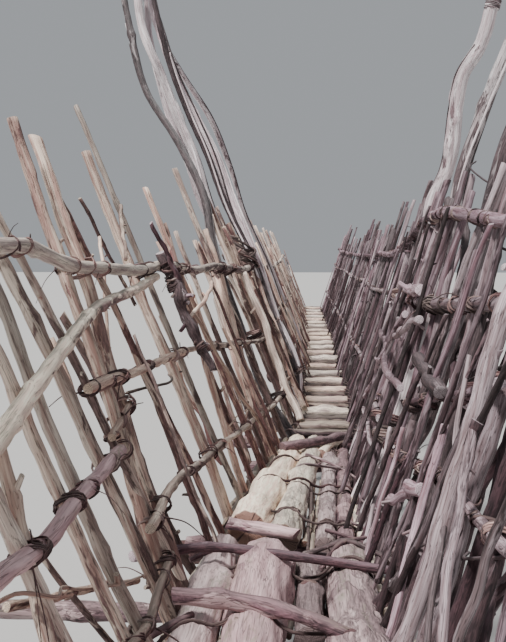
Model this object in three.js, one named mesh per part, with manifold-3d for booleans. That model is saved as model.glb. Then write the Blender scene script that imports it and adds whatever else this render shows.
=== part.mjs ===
// Rustic pole and vine footbridge: a narrow deck of logs and cross slats between two leaning stake fences,
// hung from long liana stays and landed on log cribs. Millimetres: X across, Y along the bridge, Z up.
import * as THREE from 'three';
import Module from 'manifold-3d';

const wasm = await Module();
wasm.setup();
const Manifold = wasm.Manifold;

// Driving dimensions
const BAYS = 6;
const BAY = 2300;
const LENGTH = BAYS * BAY;
const END_LEVEL = 670;
const SAG = 120;
const GAP = 0.3;
const PRESS = 4;

const LEFT = -1;
const RIGHT = 1;
const SIDES = { left: LEFT, right: RIGHT };
const LEAN = { [LEFT]: 22, [RIGHT]: 17 };
const FENCE_FOOT = 34;

const BEARER_R = 45;
const YOKE_R = 42;
const YOKE_REACH = 330;
const JOIST_R = 26;
const STAKE_FACE = 16;
const RAIL_R = 12;
const RAIL_BITE = 8;
const HAND_RAIL_R = 18;
const SLAT_THICK = 34;
const SLAT_WIDE = 62;
const SLAT_PITCH = 155;
const RUNG_EVERY = 3;
const RUNG_THICK = 52;
const RUNG_WIDE = 74;
const SLAT_BED = 36;
const SLAT_START = 3500;
const SLAT_DECKS = 3;

const HAND_RAIL_HEIGHT = { [LEFT]: 820, [RIGHT]: 925 };
const MID_RAIL_HEIGHT = { [LEFT]: 480, [RIGHT]: 690 };
const LOW_RAIL_HEIGHT = { [LEFT]: 155, [RIGHT]: 250 };

// Distance along the bridge against a value: deck centre, deck half width, depth of the bearers under the deck
const CENTRE_LINE = [[0, 0], [2100, 8], [2900, 64], [4030, 150], [8000, 150], [LENGTH, 60]];
const HALF_WIDTH = [[0, 270], [1150, 265], [2090, 210], [2900, 190], [4000, 145], [LENGTH, 140]];
const BEARER_DEPTH = [
  [0, 218], [1480, 218], [1930, 178], [3180, 178],
  [3600, 145], [4300, 78.6], [LENGTH, 78.6],
];

// Cross poles on the bearers, under the deck logs: along, left end, right end
const JOISTS = [[560, -340, 335], [1400, -835, 455], [1930, -360, 350], [3180, -250, 400], [3600, -380, 590]];
const NEAR_LOG_BED = 130;
const SECOND_LOG_BED = 94;

const NEAR_LOGS = {
  deck_log_left: { x: [-214, -210], y: [30, 1760], r: [57, 51] },
  deck_log_middle: { x: [-70, -66], y: [-20, 1590], r: [74, 70] },
  deck_log_inner: { x: [62, 60], y: [1085, 1700], r: [38, 34] },
  deck_log_short: { x: [60, 60], y: [60, 925], r: [42, 40] },
  deck_log_right: { x: [182, 174], y: [0, 1610], r: [70, 64] },
};
const SECOND_LOGS = {
  deck_pole_left: { x: [-139, -8], y: [1830, 3420], r: [61, 46] },
  deck_pole_middle: { x: [-24, 82], y: [1740, 3455], r: [54, 42] },
  deck_pole_inner: { x: [110, 157], y: [1760, 3400], r: [33, 29] },
  deck_pole_right: { x: [175, 216], y: [1740, 3440], r: [29, 26] },
};

// Poles lashed across the near logs: across and along, radius at each end, where it bears on the logs
const CROSS_POLES = {
  deck_crosspole: { path: [[-410, 1290], [-200, 1430], [-20, 1405], [305, 1330]], r: [15, 12], line: 1390 },
  deck_crosspole_near: { path: [[-254, 1012], [-66, 1000], [40, 950], [150, 862]], r: [20, 15], line: 1000 },
};

// Stakes: foot along, foot height, top along, top height, radius. Those near the picture are placed one by one.
const NEAR_LEFT_STAKES = [
  [130, -170, 110, 1090, 17], [300, -180, 720, 1010, 15], [470, -185, 390, 1170, 17],
  [777, -180, 615, 1150, 15], [862, -190, 790, 1130, 16], [1135, -185, 905, 1180, 18],
  [1325, -105, 985, 1090, 12], [1144, -185, 1488, 1229, 19], [1262, -180, 1608, 1195, 22],
  [1650, -170, 1700, 585, 12], [1866, -175, 1575, 1066, 12], [2055, -180, 2117, 1224, 20],
  [2285, -170, 2215, 1397, 12],
];
const SECOND_LEFT_STAKES = [
  [2350, -175, 2790, 1010, 15], [2540, -180, 2600, 930, 13], [2800, -190, 2740, 1160, 16],
  [2950, -170, 3020, 990, 13], [3085, -180, 3600, 1017, 34], [3330, -180, 3300, 960, 14],
  [3478, -180, 3489, 1333, 18], [3800, -200, 3880, 1120, 17], [4060, -180, 3990, 1230, 15],
  [4250, -190, 4330, 1080, 18], [4410, -180, 4390, 1200, 14],
];
const NEAR_RIGHT_STAKES = [
  [120, -180, 140, 1150, 17], [335, -190, 290, 1250, 18], [520, -180, 610, 1090, 15],
  [690, -185, 640, 1210, 16], [870, -180, 950, 1190, 20], [1060, -180, 1440, 980, 14],
  [1160, -190, 1060, 1100, 17], [1335, -180, 1490, 1180, 14], [1500, -170, 2060, 1120, 14],
  [1580, -180, 1530, 1250, 13], [1789, -180, 1640, 1110, 13], [1840, -185, 1930, 1060, 14],
  [2090, -175, 2230, 1160, 13], [2240, -170, 2180, 1040, 12],
];

// Rails in the near bays: radius at each end, then along and height of each point
const NEAR_LEFT_RAILS = [
  { r: [17, 16], path: [[0, 322], [450, 300], [800, 322], [1180, 338]] },
  { r: [14, 12], path: [[1100, 500], [1520, 498], [1900, 505], [2300, 501]] },
  { r: [14, 12], path: [[1150, 145], [1565, 183], [2000, 166], [2300, 155]] },
  { r: [13, 12], path: [[0, 60], [470, 48], [900, 20], [1240, 55]] },
  { r: [11, 9], path: [[1160, 374], [1420, 428]] },
];
const SECOND_LEFT_RAILS = [
  { r: [11, 10], path: [[2300, 501], [2650, 492], [3100, 468], [3700, 440], [4150, 452], [4600, 470]] },
  { r: [11, 11], path: [[2300, 155], [2700, 146], [3290, 130], [3800, 150], [4600, 150]] },
];
const NEAR_RIGHT_RAILS = [
  { r: [18, 17], path: [[0, 735], [600, 722], [1070, 713], [1760, 694], [2300, 690]] },
  { r: [12, 12], path: [[0, 345], [870, 311], [1750, 240], [2300, 215]] },
  { r: [15, 12], path: [[840, 556], [1300, 470], [1800, 385]] },
];
const LEFT_HAND_RAIL = [
  [0, 846], [500, 836], [880, 834], [1060, 842], [1220, 822], [1330, 806], [1630, 800],
  [2060, 798], [2440, 822], [2900, 805], [3400, 828], [3900, 812], [4600, 826],
];
const RIGHT_HAND_RAIL = [
  [0, 905], [700, 910], [1300, 914], [1500, 936], [1730, 962], [1980, 990], [2300, 1012],
  [2700, 1034], [3300, 1040], [3900, 990], [4600, 925],
];

// The long slanting pole tied across the near left stakes: along and height
const LEFT_BRACE = {
  r: [20, 15],
  path: [[110, 394], [485, 487], [720, 537], [1046, 605], [1413, 681], [1881, 732], [2280, 776]],
};

// Liana stays. Low points follow the fence: along, height and distance out from the stakes' plane. High points
// swing free: across, along and height above the deck. Each ends in an eye.
const STAYS = {
  left_stay_1: {
    side: LEFT,
    r: [23, 18],
    low: [
      [3662, -190, 4], [3662, -30, 4], [3668, 140, 45], [3690, 500, 47],
      [3800, 960, 50],
    ],
    high: [
      [-529, 3890, 1207], [-700, 4010, 1550], [-890, 4105, 1847], [-985, 4190, 2170],
      [-1066, 4290, 2510],
    ],
  },
  left_stay_2: {
    side: LEFT,
    r: [32, 26],
    low: [
      [4505, -250, 12], [4505, -30, 12], [4508, 150, 54], [4530, 500, 56],
      [4555, 960, 58],
    ],
    high: [
      [-590, 4565, 1241], [-676, 4575, 1534], [-776, 4580, 1764], [-882, 4580, 2036],
      [-990, 4580, 2294], [-1032, 4580, 2560],
    ],
  },
  left_stay_3: {
    side: LEFT,
    r: [24, 19],
    low: [
      [4582, -140, 5], [4582, -30, 5], [4584, 150, 46], [4600, 500, 50],
      [4625, 960, 52],
    ],
    high: [
      [-640, 4650, 1241], [-738, 4660, 1534], [-830, 4660, 1764], [-905, 4665, 2036],
      [-968, 4670, 2294], [-985, 4670, 2580],
    ],
  },
  left_stay_4: {
    side: LEFT,
    r: [30, 23],
    low: [
      [4702, -250, 11], [4702, -30, 11], [4702, 155, -64], [4700, 480, -64],
      [4698, 820, -82],
    ],
    high: [
      [-446, 4690, 1247], [-552, 4680, 1541], [-690, 4670, 1820], [-815, 4660, 2073],
      [-925, 4700, 2382], [-1000, 4740, 2600],
    ],
  },
  left_stay_5: {
    side: LEFT,
    r: [20, 16],
    low: [
      [4640, -140, 1], [4640, -30, 1], [4640, 155, -55], [4638, 480, -56],
      [4636, 820, -72],
    ],
    high: [
      [-492, 4622, 1247], [-600, 4606, 1541], [-716, 4590, 1800], [-812, 4540, 2060],
      [-880, 4510, 2330], [-925, 4490, 2560],
    ],
  },
  left_stay_6: {
    side: LEFT,
    r: [18, 13],
    low: [
      [6836, -230, 0], [6836, -30, 0], [6780, 150, -54], [6640, 480, -54],
      [6430, 820, -70],
    ],
    high: [
      [-491, 6150, 1297], [-575, 5890, 1612], [-690, 5640, 1930], [-875, 5384, 2222],
      [-1010, 5150, 2480], [-1066, 5010, 2680],
    ],
  },
  right_stay_1: {
    side: RIGHT,
    r: [36, 31],
    low: [
      [3524, -200, 16], [3524, -30, 16], [3518, 150, 56], [3480, 500, 54],
      [3440, 960, 32],
    ],
    high: [
      [640, 3410, 1136], [708, 3385, 1297], [744, 3356, 1595], [766, 3342, 1737],
      [842, 3330, 1867], [908, 3305, 2100],
    ],
  },
  right_stay_2: {
    side: RIGHT,
    r: [25, 22],
    low: [
      [2376, -240, 6], [2376, -30, 6], [2392, 150, 46], [2430, 500, 48],
      [2450, 960, 32],
    ],
    high: [
      [622, 2440, 1166], [684, 2389, 1379], [758, 2330, 1596], [810, 2300, 1740],
      [868, 2268, 1905],
    ],
  },
  right_stay_3: {
    side: RIGHT,
    r: [32, 30],
    low: [
      [2012, -170, 12], [2012, -30, 12], [1990, 150, 54], [1890, 500, 56],
      [1800, 960, 46],
    ],
    high: [
      [645, 1724, 1166], [692, 1700, 1290], [756, 1672, 1450], [826, 1645, 1620],
    ],
  },
};
const EYE_R = 58;

// Landing cribs: round logs with a hewn underside
const SILL_R = 95;
const SILL_CENTRE = 80;
const SILL_STEP = 720;
const CHEEK_R = 85;
const CHEEK_SPREAD = 420;
const HEADER_STEP = 180;
const CRIB_REACH = 640;

const WOODS = {
  stake: { color: 0x957a70, roughness: 0.86 },
  shade: { color: 0x7e6c70, roughness: 0.9 },
  rail: { color: 0xa08a84, roughness: 0.84 },
  log: { color: 0xa8938d, roughness: 0.82 },
  slat: { color: 0xd6c6aa, roughness: 0.78 },
  bearer: { color: 0x6f5d58, roughness: 0.92 },
  crib: { color: 0x7c6a62, roughness: 0.93 },
  liana: { color: 0xb5a6ad, roughness: 0.7 },
};

const bridge = new THREE.Group();
bridge.name = 'pole_and_vine_footbridge';

// Small helpers
function between(table, at) {
  if (at <= table[0][0]) return table[0][1];
  for (let i = 1; i < table.length; i += 1) {
    const [a, low] = table[i - 1];
    const [b, high] = table[i];
    if (at <= b) return low + (high - low) * THREE.MathUtils.smoothstep(at, a, b);
  }
  return table[table.length - 1][1];
}

function chance(seed) {
  let state = seed;
  return (low, high) => {
    state = (state * 1664525 + 1013904223) % 4294967296;
    return low + (high - low) * (state / 4294967296);
  };
}

const share = ([from, to], t) => from + (to - from) * t;

function deckLevel(y) {
  const t = THREE.MathUtils.clamp(y / LENGTH, 0, 1);
  return END_LEVEL - 4 * SAG * t * (1 - t);
}

const deckCentre = (y) => between(CENTRE_LINE, y);
const deckHalf = (y) => between(HALF_WIDTH, y);
const bearerLevel = (y) => deckLevel(y) - between(BEARER_DEPTH, y);

// Where a lengthwise pole bends: closer together while the bridge narrows and swings
function stations(start, end) {
  const spots = [];
  let y = start;
  while (y < end - 150) {
    spots.push(y);
    y += y < 4500 ? 345 : 690;
  }
  spots.push(end);
  return spots;
}

// A point on a side's leaning fence plane, height above the deck, then out from that plane
function onFence(side, y, height, out = 0) {
  const lean = THREE.MathUtils.degToRad(LEAN[side]);
  const x = deckCentre(y) + side * (deckHalf(y) + FENCE_FOOT + height * Math.tan(lean) + out * Math.cos(lean));
  return [x, y, deckLevel(y) + height - out * Math.sin(lean)];
}

// A closed round pole along a path, with its radius at each point
function pole(path, radius, sides = 8, turn = 0) {
  const points = path.map((p) => new THREE.Vector3(...p));
  const radii = Array.isArray(radius) ? radius : points.map(() => radius);
  const vertices = [];
  const triangles = [];
  let across = null;
  points.forEach((point, i) => {
    const ahead = points[Math.min(i + 1, points.length - 1)];
    const behind = points[Math.max(i - 1, 0)];
    const along = ahead.clone().sub(behind).normalize();
    if (!across) across = Math.abs(along.z) > 0.8 ? new THREE.Vector3(0, 1, 0) : new THREE.Vector3(0, 0, 1);
    across = across.clone().addScaledVector(along, -across.dot(along)).normalize();
    const third = along.clone().cross(across);
    for (let j = 0; j < sides; j += 1) {
      const angle = (2 * Math.PI * (j + turn)) / sides;
      const rim = point.clone()
        .addScaledVector(across, Math.cos(angle) * radii[i])
        .addScaledVector(third, Math.sin(angle) * radii[i]);
      vertices.push(rim.x, rim.y, rim.z);
    }
  });
  for (let i = 0; i + 1 < points.length; i += 1) {
    for (let j = 0; j < sides; j += 1) {
      const a = i * sides + j;
      const b = i * sides + ((j + 1) % sides);
      triangles.push(a, b, b + sides, a, b + sides, a + sides);
    }
  }
  const last = (points.length - 1) * sides;
  for (let j = 1; j + 1 < sides; j += 1) triangles.push(0, j + 1, j, last, last + j, last + j + 1);
  return solidOf(vertices, triangles);
}

function solidOf(vertices, triangles) {
  return new Manifold(new wasm.Mesh({
    numProp: 3,
    vertProperties: new Float32Array(vertices),
    triVerts: new Uint32Array(triangles),
  }));
}

// A straight pole whose radius changes evenly along it
function taper(from, to, radii, sides, extra = 0, steps = 1) {
  const path = [];
  for (let i = 0; i <= steps; i += 1) path.push(from.map((v, k) => share([v, to[k]], i / steps)));
  return pole(path, path.map((p, i) => share(radii, i / steps) + extra), sides);
}

const join = (solids) => Manifold.union(solids);

// The largest body, without the chips that a notch cuts loose
function withoutChips(solid) {
  return solid.decompose().sort((a, b) => b.volume() - a.volume())[0];
}

function addNode(name, solid, wood) {
  const mesh = withoutChips(solid).simplify(0.2).getMesh();
  const geometry = new THREE.BufferGeometry();
  geometry.setAttribute('position', new THREE.BufferAttribute(new Float32Array(mesh.vertProperties), 3));
  geometry.setIndex(new THREE.BufferAttribute(new Uint32Array(mesh.triVerts), 1));
  geometry.computeVertexNormals();
  const material = new THREE.MeshStandardMaterial({ ...WOODS[wood], metalness: 0 });
  material.name = wood;
  const node = new THREE.Mesh(geometry, material);
  node.name = name;
  bridge.add(node);
}

// Lengthwise bearers under the deck's edges, flat side up
function bearer(side, extra) {
  const lean = THREE.MathUtils.degToRad(LEAN[side]);
  const path = stations(0, LENGTH).map((y) => {
    const foot = FENCE_FOOT - between(BEARER_DEPTH, y) * Math.tan(lean);
    const x = deckHalf(y) + foot - STAKE_FACE - BEARER_R + PRESS;
    return [deckCentre(y) + side * x, y, bearerLevel(y)];
  });
  return pole(path, BEARER_R + extra, 8, 0.5);
}

const bearerSeats = { [LEFT]: bearer(LEFT, GAP), [RIGHT]: bearer(RIGHT, GAP) };
const bearerSeat = join(Object.values(bearerSeats));

// Cross yokes slung under the bearers at the bay ends
function yoke(bay, extra) {
  const y = bay * BAY;
  const level = bearerLevel(y) - BEARER_R * Math.cos(Math.PI / 8) - YOKE_R + PRESS;
  const reach = deckHalf(y) + YOKE_REACH;
  const ends = [[deckCentre(y) - reach, y, level], [deckCentre(y) + reach, y, level]];
  return taper(ends[0], ends[1], [YOKE_R, YOKE_R - 3], 8, extra, 2);
}

// Cross joists on the bearers
function joist([y, from, to], extra) {
  const level = bearerLevel(y) + BEARER_R * Math.cos(Math.PI / 8) + JOIST_R - PRESS;
  return taper([from, y, level], [to, y, level], [JOIST_R, JOIST_R - 2], 8, extra, 2);
}

const YOKE_BAYS = [1, 2, 3, 4, 5];
const yokeSeat = join(YOKE_BAYS.map((bay) => yoke(bay, GAP)));
const joistSeat = join(JOISTS.map((spot) => joist(spot, GAP)));

// Lengthwise deck logs on their joists
function deckLog({ x, y, r }, bed, extra) {
  const path = [];
  for (let i = 0; i <= 4; i += 1) {
    const along = share(y, i / 4);
    path.push([share(x, i / 4), along, deckLevel(along) - bed + share(r, i / 4)]);
  }
  return pole(path, path.map((p, i) => share(r, i / 4) + extra), 10);
}

const deckSeat = join([
  ...Object.values(NEAR_LOGS).map((log) => deckLog(log, NEAR_LOG_BED, GAP)),
  ...Object.values(SECOND_LOGS).map((log) => deckLog(log, SECOND_LOG_BED, GAP)),
]);

function crossPole({ path, r, line }, extra) {
  const radii = path.map((p, i) => share(r, i / (path.length - 1)));
  const tops = [NEAR_LOGS.deck_log_middle, NEAR_LOGS.deck_log_right].map((log) => {
    const along = (line - log.y[0]) / (log.y[1] - log.y[0]);
    return [share(log.x, along), 2 * share(log.r, along) - NEAR_LOG_BED];
  });
  const slope = (tops[1][1] - tops[0][1]) / (tops[1][0] - tops[0][0]);
  const level = (x, y) => deckLevel(y) + tops[0][1] + slope * (x - tops[0][0]) - PRESS;
  return pole(path.map(([x, y], i) => [x, y, level(x, y) + radii[i]]), radii.map((radius) => radius + extra), 8);
}

const crossPoleSeat = join(Object.values(CROSS_POLES).map((spot) => crossPole(spot, GAP)));

// Cross slats fused to the runner pole under their middle, with a thicker rung among them at every third place
function slat(from, to, width, thick) {
  const low = thick / 2;
  const edge = [[-width / 2, -low], [width / 2, -low], [width * 0.4, low], [-width * 0.4, low]];
  const along = new THREE.Vector3(...to).sub(new THREE.Vector3(...from)).normalize();
  const ahead = new THREE.Vector3(0, 0, 1).cross(along).normalize();
  const rise = along.clone().cross(ahead);
  const vertices = [];
  for (const end of [from, to]) {
    for (const [w, h] of edge) {
      const corner = new THREE.Vector3(...end).addScaledVector(ahead, w).addScaledVector(rise, h);
      vertices.push(corner.x, corner.y, corner.z);
    }
  }
  const triangles = [0, 2, 1, 0, 3, 2, 4, 5, 6, 4, 6, 7];
  for (let j = 0; j < 4; j += 1) {
    const next = (j + 1) % 4;
    triangles.push(j, next, next + 4, j, next + 4, j + 4);
  }
  return solidOf(vertices, triangles);
}

function slatDeck(index) {
  const long = (LENGTH - SLAT_START) / SLAT_DECKS;
  const start = SLAT_START + index * long + GAP;
  const end = SLAT_START + (index + 1) * long - GAP;
  const roll = chance(300 + index);
  const runner = stations(start, end).map((y) => [deckCentre(y), y, deckLevel(y) - SLAT_BED - 8]);
  const solids = [pole(runner, 24, 4, 0.5)];
  const count = Math.round((end - start) / SLAT_PITCH);
  for (let i = 0; i < count; i += 1) {
    const y = start + ((i + 0.5) * (end - start)) / count;
    const skew = roll(-14, 14);
    const rung = i % RUNG_EVERY === 1;
    const width = (rung ? RUNG_WIDE : SLAT_WIDE) + roll(-9, 9);
    const thick = rung ? RUNG_THICK : SLAT_THICK;
    const ends = [LEFT, RIGHT].map((side) => {
      const reach = deckHalf(y) + roll(-22, -4);
      return [deckCentre(y) + side * reach, y + side * skew, deckLevel(y) - SLAT_BED + thick / 2];
    });
    solids.push(slat(ends[0], ends[1], width, thick));
  }
  return join(solids).subtract(bearerSeat).subtract(deckSeat).subtract(joistSeat);
}

// Landing crib: two sills on the ground, two cheeks along the bridge on them, a header under the bearers
function crib(outer, inward, extra) {
  const middle = deckCentre(outer);
  const log = (from, to, radius) => taper(from, to, [radius, radius * 0.96], 12, extra, 2);
  const sills = [0, SILL_STEP].map((step) => {
    const y = outer + inward * step;
    return log([middle - CRIB_REACH, y, SILL_CENTRE], [middle + CRIB_REACH, y, SILL_CENTRE], SILL_R);
  });
  const cheekLevel = SILL_CENTRE + SILL_R - PRESS + CHEEK_R;
  const cheeks = [LEFT, RIGHT].map((side) => {
    const x = middle + side * CHEEK_SPREAD;
    return log([x, outer - inward * 170, cheekLevel], [x, outer + inward * 900, cheekLevel], CHEEK_R);
  });
  const y = outer + inward * HEADER_STEP;
  const bottom = cheekLevel + CHEEK_R - PRESS;
  const radius = (bearerLevel(y) - BEARER_R + PRESS - bottom) / 2;
  const header = log([middle - 590, y, bottom + radius], [middle + 590, y, bottom + radius], radius);
  return { sills, cheeks, header };
}

const CRIBS = { near: [0, 1], far: [LENGTH, -1] };
const cribSeats = {};
for (const [end, [outer, inward]] of Object.entries(CRIBS)) cribSeats[end] = crib(outer, inward, GAP);
const cribSeat = join(Object.values(cribSeats).flatMap((c) => [...c.sills, ...c.cheeks, c.header]));
const ground = Manifold.cube([4000, LENGTH + 4000, 1000]).translate([-2000, -2000, -1000]);

// Hand rails lie on the stakes' inner faces
const HAND_RAIL_OUT = -STAKE_FACE - HAND_RAIL_R + PRESS;

function handRail(side, extra) {
  const near = side === LEFT ? LEFT_HAND_RAIL : RIGHT_HAND_RAIL;
  const roll = chance(71 + side);
  const far = stations(2 * BAY + 690, LENGTH).map((y) => [y, HAND_RAIL_HEIGHT[side] + roll(-14, 14)]);
  const path = [...near, ...far].map(([y, height]) => onFence(side, y, height, HAND_RAIL_OUT));
  return pole(path, HAND_RAIL_R + extra, 7);
}

const handRailSeats = { [LEFT]: handRail(LEFT, GAP), [RIGHT]: handRail(RIGHT, GAP) };

function brace(extra) {
  const { r, path } = LEFT_BRACE;
  const radii = path.map((p, i) => share(r, i / (path.length - 1)));
  const points = path.map(([y, height], i) => onFence(LEFT, y, height, -STAKE_FACE - radii[i] + PRESS));
  return pole(points, radii.map((radius) => radius + extra), 8);
}

function stayPole({ side, r, low, high }, extra) {
  const points = [
    ...low.map(([y, height, out]) => onFence(side, y, height, out)),
    ...high.map(([x, y, height]) => [x, y, deckLevel(y) + height]),
  ];
  return pole(points, points.map((p, i) => share(r, i / (points.length - 1)) + extra), 8);
}

// The eye that a stay's upper end is turned back into
function stayEye({ r, high }) {
  const [x, y, height] = high[high.length - 1];
  const ring = wasm.CrossSection.circle(r[1] * 0.9, 5).translate([EYE_R, 0]).revolve(11);
  return ring.rotate([90, 0, 0]).translate([x, y, deckLevel(y) + height + EYE_R - PRESS]);
}

const staySeat = join(Object.values(STAYS).map((stay) => stayPole(stay, GAP)));

// What a stake has to stand clear of, and how much wood a notch may take from it
const obstacles = join([staySeat, yokeSeat, joistSeat]);
const NOTCH_LIMIT = 26000;
const STAKE_SPACING = { [LEFT]: 275, [RIGHT]: 215 };
const PANEL_ENDS = [0, 1, 2, 4, 6];

function stakeRow(side, panel, start, end) {
  const placed = { [LEFT]: [NEAR_LEFT_STAKES, SECOND_LEFT_STAKES], [RIGHT]: [NEAR_RIGHT_STAKES] }[side][panel - 1];
  if (placed) return placed;
  const roll = chance(1000 + panel * 17 + (side === LEFT ? 0 : 500));
  const spacing = STAKE_SPACING[side] * (start > 4 * BAY - 1 ? 1.5 : 1);
  const count = Math.round((end - start) / spacing);
  const row = [];
  for (let i = 0; i < count; i += 1) {
    const y = start + ((i + 0.5) * (end - start)) / count + roll(-40, 40);
    const slant = roll(-95, 95);
    const top = side === LEFT ? roll(980, 1290) : roll(1030, 1330);
    row.push([y, roll(-205, -160), y + slant, top, roll(12, 20)]);
  }
  return row;
}

function railRow(side, panel, start, end) {
  const placed = { [LEFT]: [NEAR_LEFT_RAILS, SECOND_LEFT_RAILS], [RIGHT]: [NEAR_RIGHT_RAILS] }[side][panel - 1];
  if (placed) return placed;
  const roll = chance(2000 + panel * 29 + (side === LEFT ? 0 : 700));
  return [MID_RAIL_HEIGHT[side], LOW_RAIL_HEIGHT[side]].map((height) => (
    { r: [RAIL_R, RAIL_R], path: stations(start, end).map((y) => [y, height + roll(-16, 16)]) }
  ));
}

// A panel of fence: stakes, and rails on their inner faces, fused where they cross
function fencePanel(side, panel, first, last) {
  const start = first * BAY + GAP;
  const end = last * BAY - GAP;
  const sides = first < 2 ? 6 : 5;
  const solids = railRow(side, panel, start, end).map(({ r, path }) => {
    const spots = [...path.map((p) => p[0]), ...stations(path[0][0], path[path.length - 1][0])];
    const bends = [...new Set(spots)].sort((a, b) => a - b);
    const points = bends.map((y, i) => {
      const radius = share(r, i / (bends.length - 1));
      return onFence(side, y, between(path, y), -STAKE_FACE - radius + RAIL_BITE);
    });
    const rail = pole(points, points.map((p, i) => share(r, i / (points.length - 1))), sides);
    return rail.trimByPlane([0, 1, 0], start).trimByPlane([0, -1, 0], -end);
  });
  for (const [footY, foot, topY, top, radius] of stakeRow(side, panel, start, end)) {
    const out = radius - STAKE_FACE;
    const ends = [onFence(side, footY, foot, out), onFence(side, topY, top, out)];
    const stake = taper(ends[0], ends[1], [radius, radius * 0.8], sides);
    const inTheWay = Manifold.intersection(stake, obstacles).volume();
    if (inTheWay < NOTCH_LIMIT) solids.push(stake);
  }
  return join(solids)
    .subtract(handRailSeats[side])
    .subtract(bearerSeats[side])
    .subtract(join([obstacles, deckSeat, cribSeat, crossPoleSeat, brace(GAP)]));
}

for (const [name, side] of Object.entries(SIDES)) addNode(`${name}_bearer`, bearer(side, 0), 'bearer');
YOKE_BAYS.forEach((bay, i) => addNode(`yoke_${i + 1}`, yoke(bay, 0).subtract(bearerSeat), 'bearer'));
JOISTS.forEach((spot, i) => addNode(`joist_${i + 1}`, joist(spot, 0).subtract(bearerSeat), 'bearer'));
for (const [name, log] of Object.entries(NEAR_LOGS)) {
  addNode(name, deckLog(log, NEAR_LOG_BED, 0).subtract(joistSeat).subtract(crossPoleSeat), 'log');
}
for (const [name, log] of Object.entries(SECOND_LOGS)) {
  addNode(name, deckLog(log, SECOND_LOG_BED, 0).subtract(joistSeat), 'slat');
}
for (const [name, spot] of Object.entries(CROSS_POLES)) addNode(name, crossPole(spot, 0), 'stake');
for (let i = 0; i < SLAT_DECKS; i += 1) addNode(`slat_deck_${i + 1}`, slatDeck(i), 'slat');

for (const [end, [outer, inward]] of Object.entries(CRIBS)) {
  const { sills, cheeks, header } = crib(outer, inward, 0);
  sills.forEach((sill, i) => addNode(`${end}_sill_${i + 1}`, sill.subtract(ground), 'crib'));
  const sillSeat = join(cribSeats[end].sills);
  cheeks.forEach((cheek, i) => addNode(`${end}_cheek_${i + 1}`, cheek.subtract(sillSeat), 'crib'));
  const above = join([...cribSeats[end].cheeks, bearerSeat]);
  addNode(`${end}_header`, header.subtract(above), 'crib');
}

for (const [name, side] of Object.entries(SIDES)) {
  addNode(`${name}_hand_rail`, handRail(side, 0), side === LEFT ? 'rail' : 'shade');
}
addNode('left_brace_pole', brace(0).subtract(handRailSeats[LEFT]), 'rail');
for (const [name, side] of Object.entries(SIDES)) {
  PANEL_ENDS.slice(1).forEach((last, i) => {
    const panel = fencePanel(side, i + 1, PANEL_ENDS[i], last);
    addNode(`${name}_fence_${i + 1}`, panel, side === LEFT ? 'stake' : 'shade');
  });
}

const stayBed = join([bearerSeat, yokeSeat, ...Object.values(handRailSeats)]);
for (const [name, stay] of Object.entries(STAYS)) {
  addNode(name, join([stayPole(stay, 0).subtract(stayBed), stayEye(stay)]), 'liana');
}

export default bridge;
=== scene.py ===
import bpy
import math
import random
import numpy as np
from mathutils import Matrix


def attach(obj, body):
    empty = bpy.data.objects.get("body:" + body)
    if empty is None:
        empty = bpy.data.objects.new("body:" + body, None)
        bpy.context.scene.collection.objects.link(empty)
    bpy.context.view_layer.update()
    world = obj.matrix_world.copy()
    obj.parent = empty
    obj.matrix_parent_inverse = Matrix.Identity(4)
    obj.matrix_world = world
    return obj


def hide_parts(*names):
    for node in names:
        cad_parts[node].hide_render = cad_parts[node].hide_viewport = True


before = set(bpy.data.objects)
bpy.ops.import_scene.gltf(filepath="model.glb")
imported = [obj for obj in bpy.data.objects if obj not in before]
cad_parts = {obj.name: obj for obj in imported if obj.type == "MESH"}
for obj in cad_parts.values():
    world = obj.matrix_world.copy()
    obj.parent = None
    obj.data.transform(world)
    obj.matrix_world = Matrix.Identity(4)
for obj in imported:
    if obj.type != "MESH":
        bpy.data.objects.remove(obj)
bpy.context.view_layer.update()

# A random start round a circle lies between nothing and this
ROUND = 6.28
MM = 0.001

# Sizes of the bridge in millimetres, X across, Y along, Z up
BAY = 2300.0
LENGTH = 6 * BAY
END_LEVEL = 670.0
SAG = 120.0
GAP = 0.3
PRESS = 4.0
LEFT, RIGHT = -1, 1
SIDES = {"left": LEFT, "right": RIGHT}
LEAN = {LEFT: math.radians(22), RIGHT: math.radians(17)}
FENCE_FOOT = 34.0
BEARER_R = 45.0
YOKE_R = 42.0
YOKE_REACH = 330.0
JOIST_R = 26.0
STAKE_FACE = 16.0
RAIL_R = 12.0
RAIL_BITE = 8.0
HAND_RAIL_R = 18.0
SLAT_THICK = 34.0
SLAT_WIDE = 62.0
SLAT_PITCH = 155.0
RUNG_EVERY = 3
RUNG_THICK = 52.0
RUNG_WIDE = 74.0
SLAT_BED = 36.0
SLAT_START = 3500.0
SLAT_DECKS = 3
HAND_RAIL_HEIGHT = {LEFT: 820.0, RIGHT: 925.0}
MID_RAIL_HEIGHT = {LEFT: 480.0, RIGHT: 690.0}
LOW_RAIL_HEIGHT = {LEFT: 155.0, RIGHT: 250.0}
NEAR_STEP, FAR_STEP, LAST_STEP = 345, 690, 150
NEAR_PART = 4500
# How near its centre the flat of an eight-sided bearer comes
OCTAGON = math.cos(math.radians(22.5))
# Along the bridge, and a place across, a half width or a depth there
CENTRE_LINE = [(0, 0), (2100, 8), (2900, 64), (4030, 150), (8000, 150), (LENGTH, 60)]
HALF_WIDTH = [(0, 270), (1150, 265), (2090, 210), (2900, 190), (4000, 145), (LENGTH, 140)]
BEARER_DEPTH = [(0, 218), (1480, 218), (1930, 178), (3180, 178), (3600, 145), (4300, 78.6), (LENGTH, 78.6)]
# Joists: along, then across at both ends
JOISTS = [(560, -340, 335), (1400, -835, 455), (1930, -360, 350), (3180, -250, 400), (3600, -380, 590)]
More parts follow.
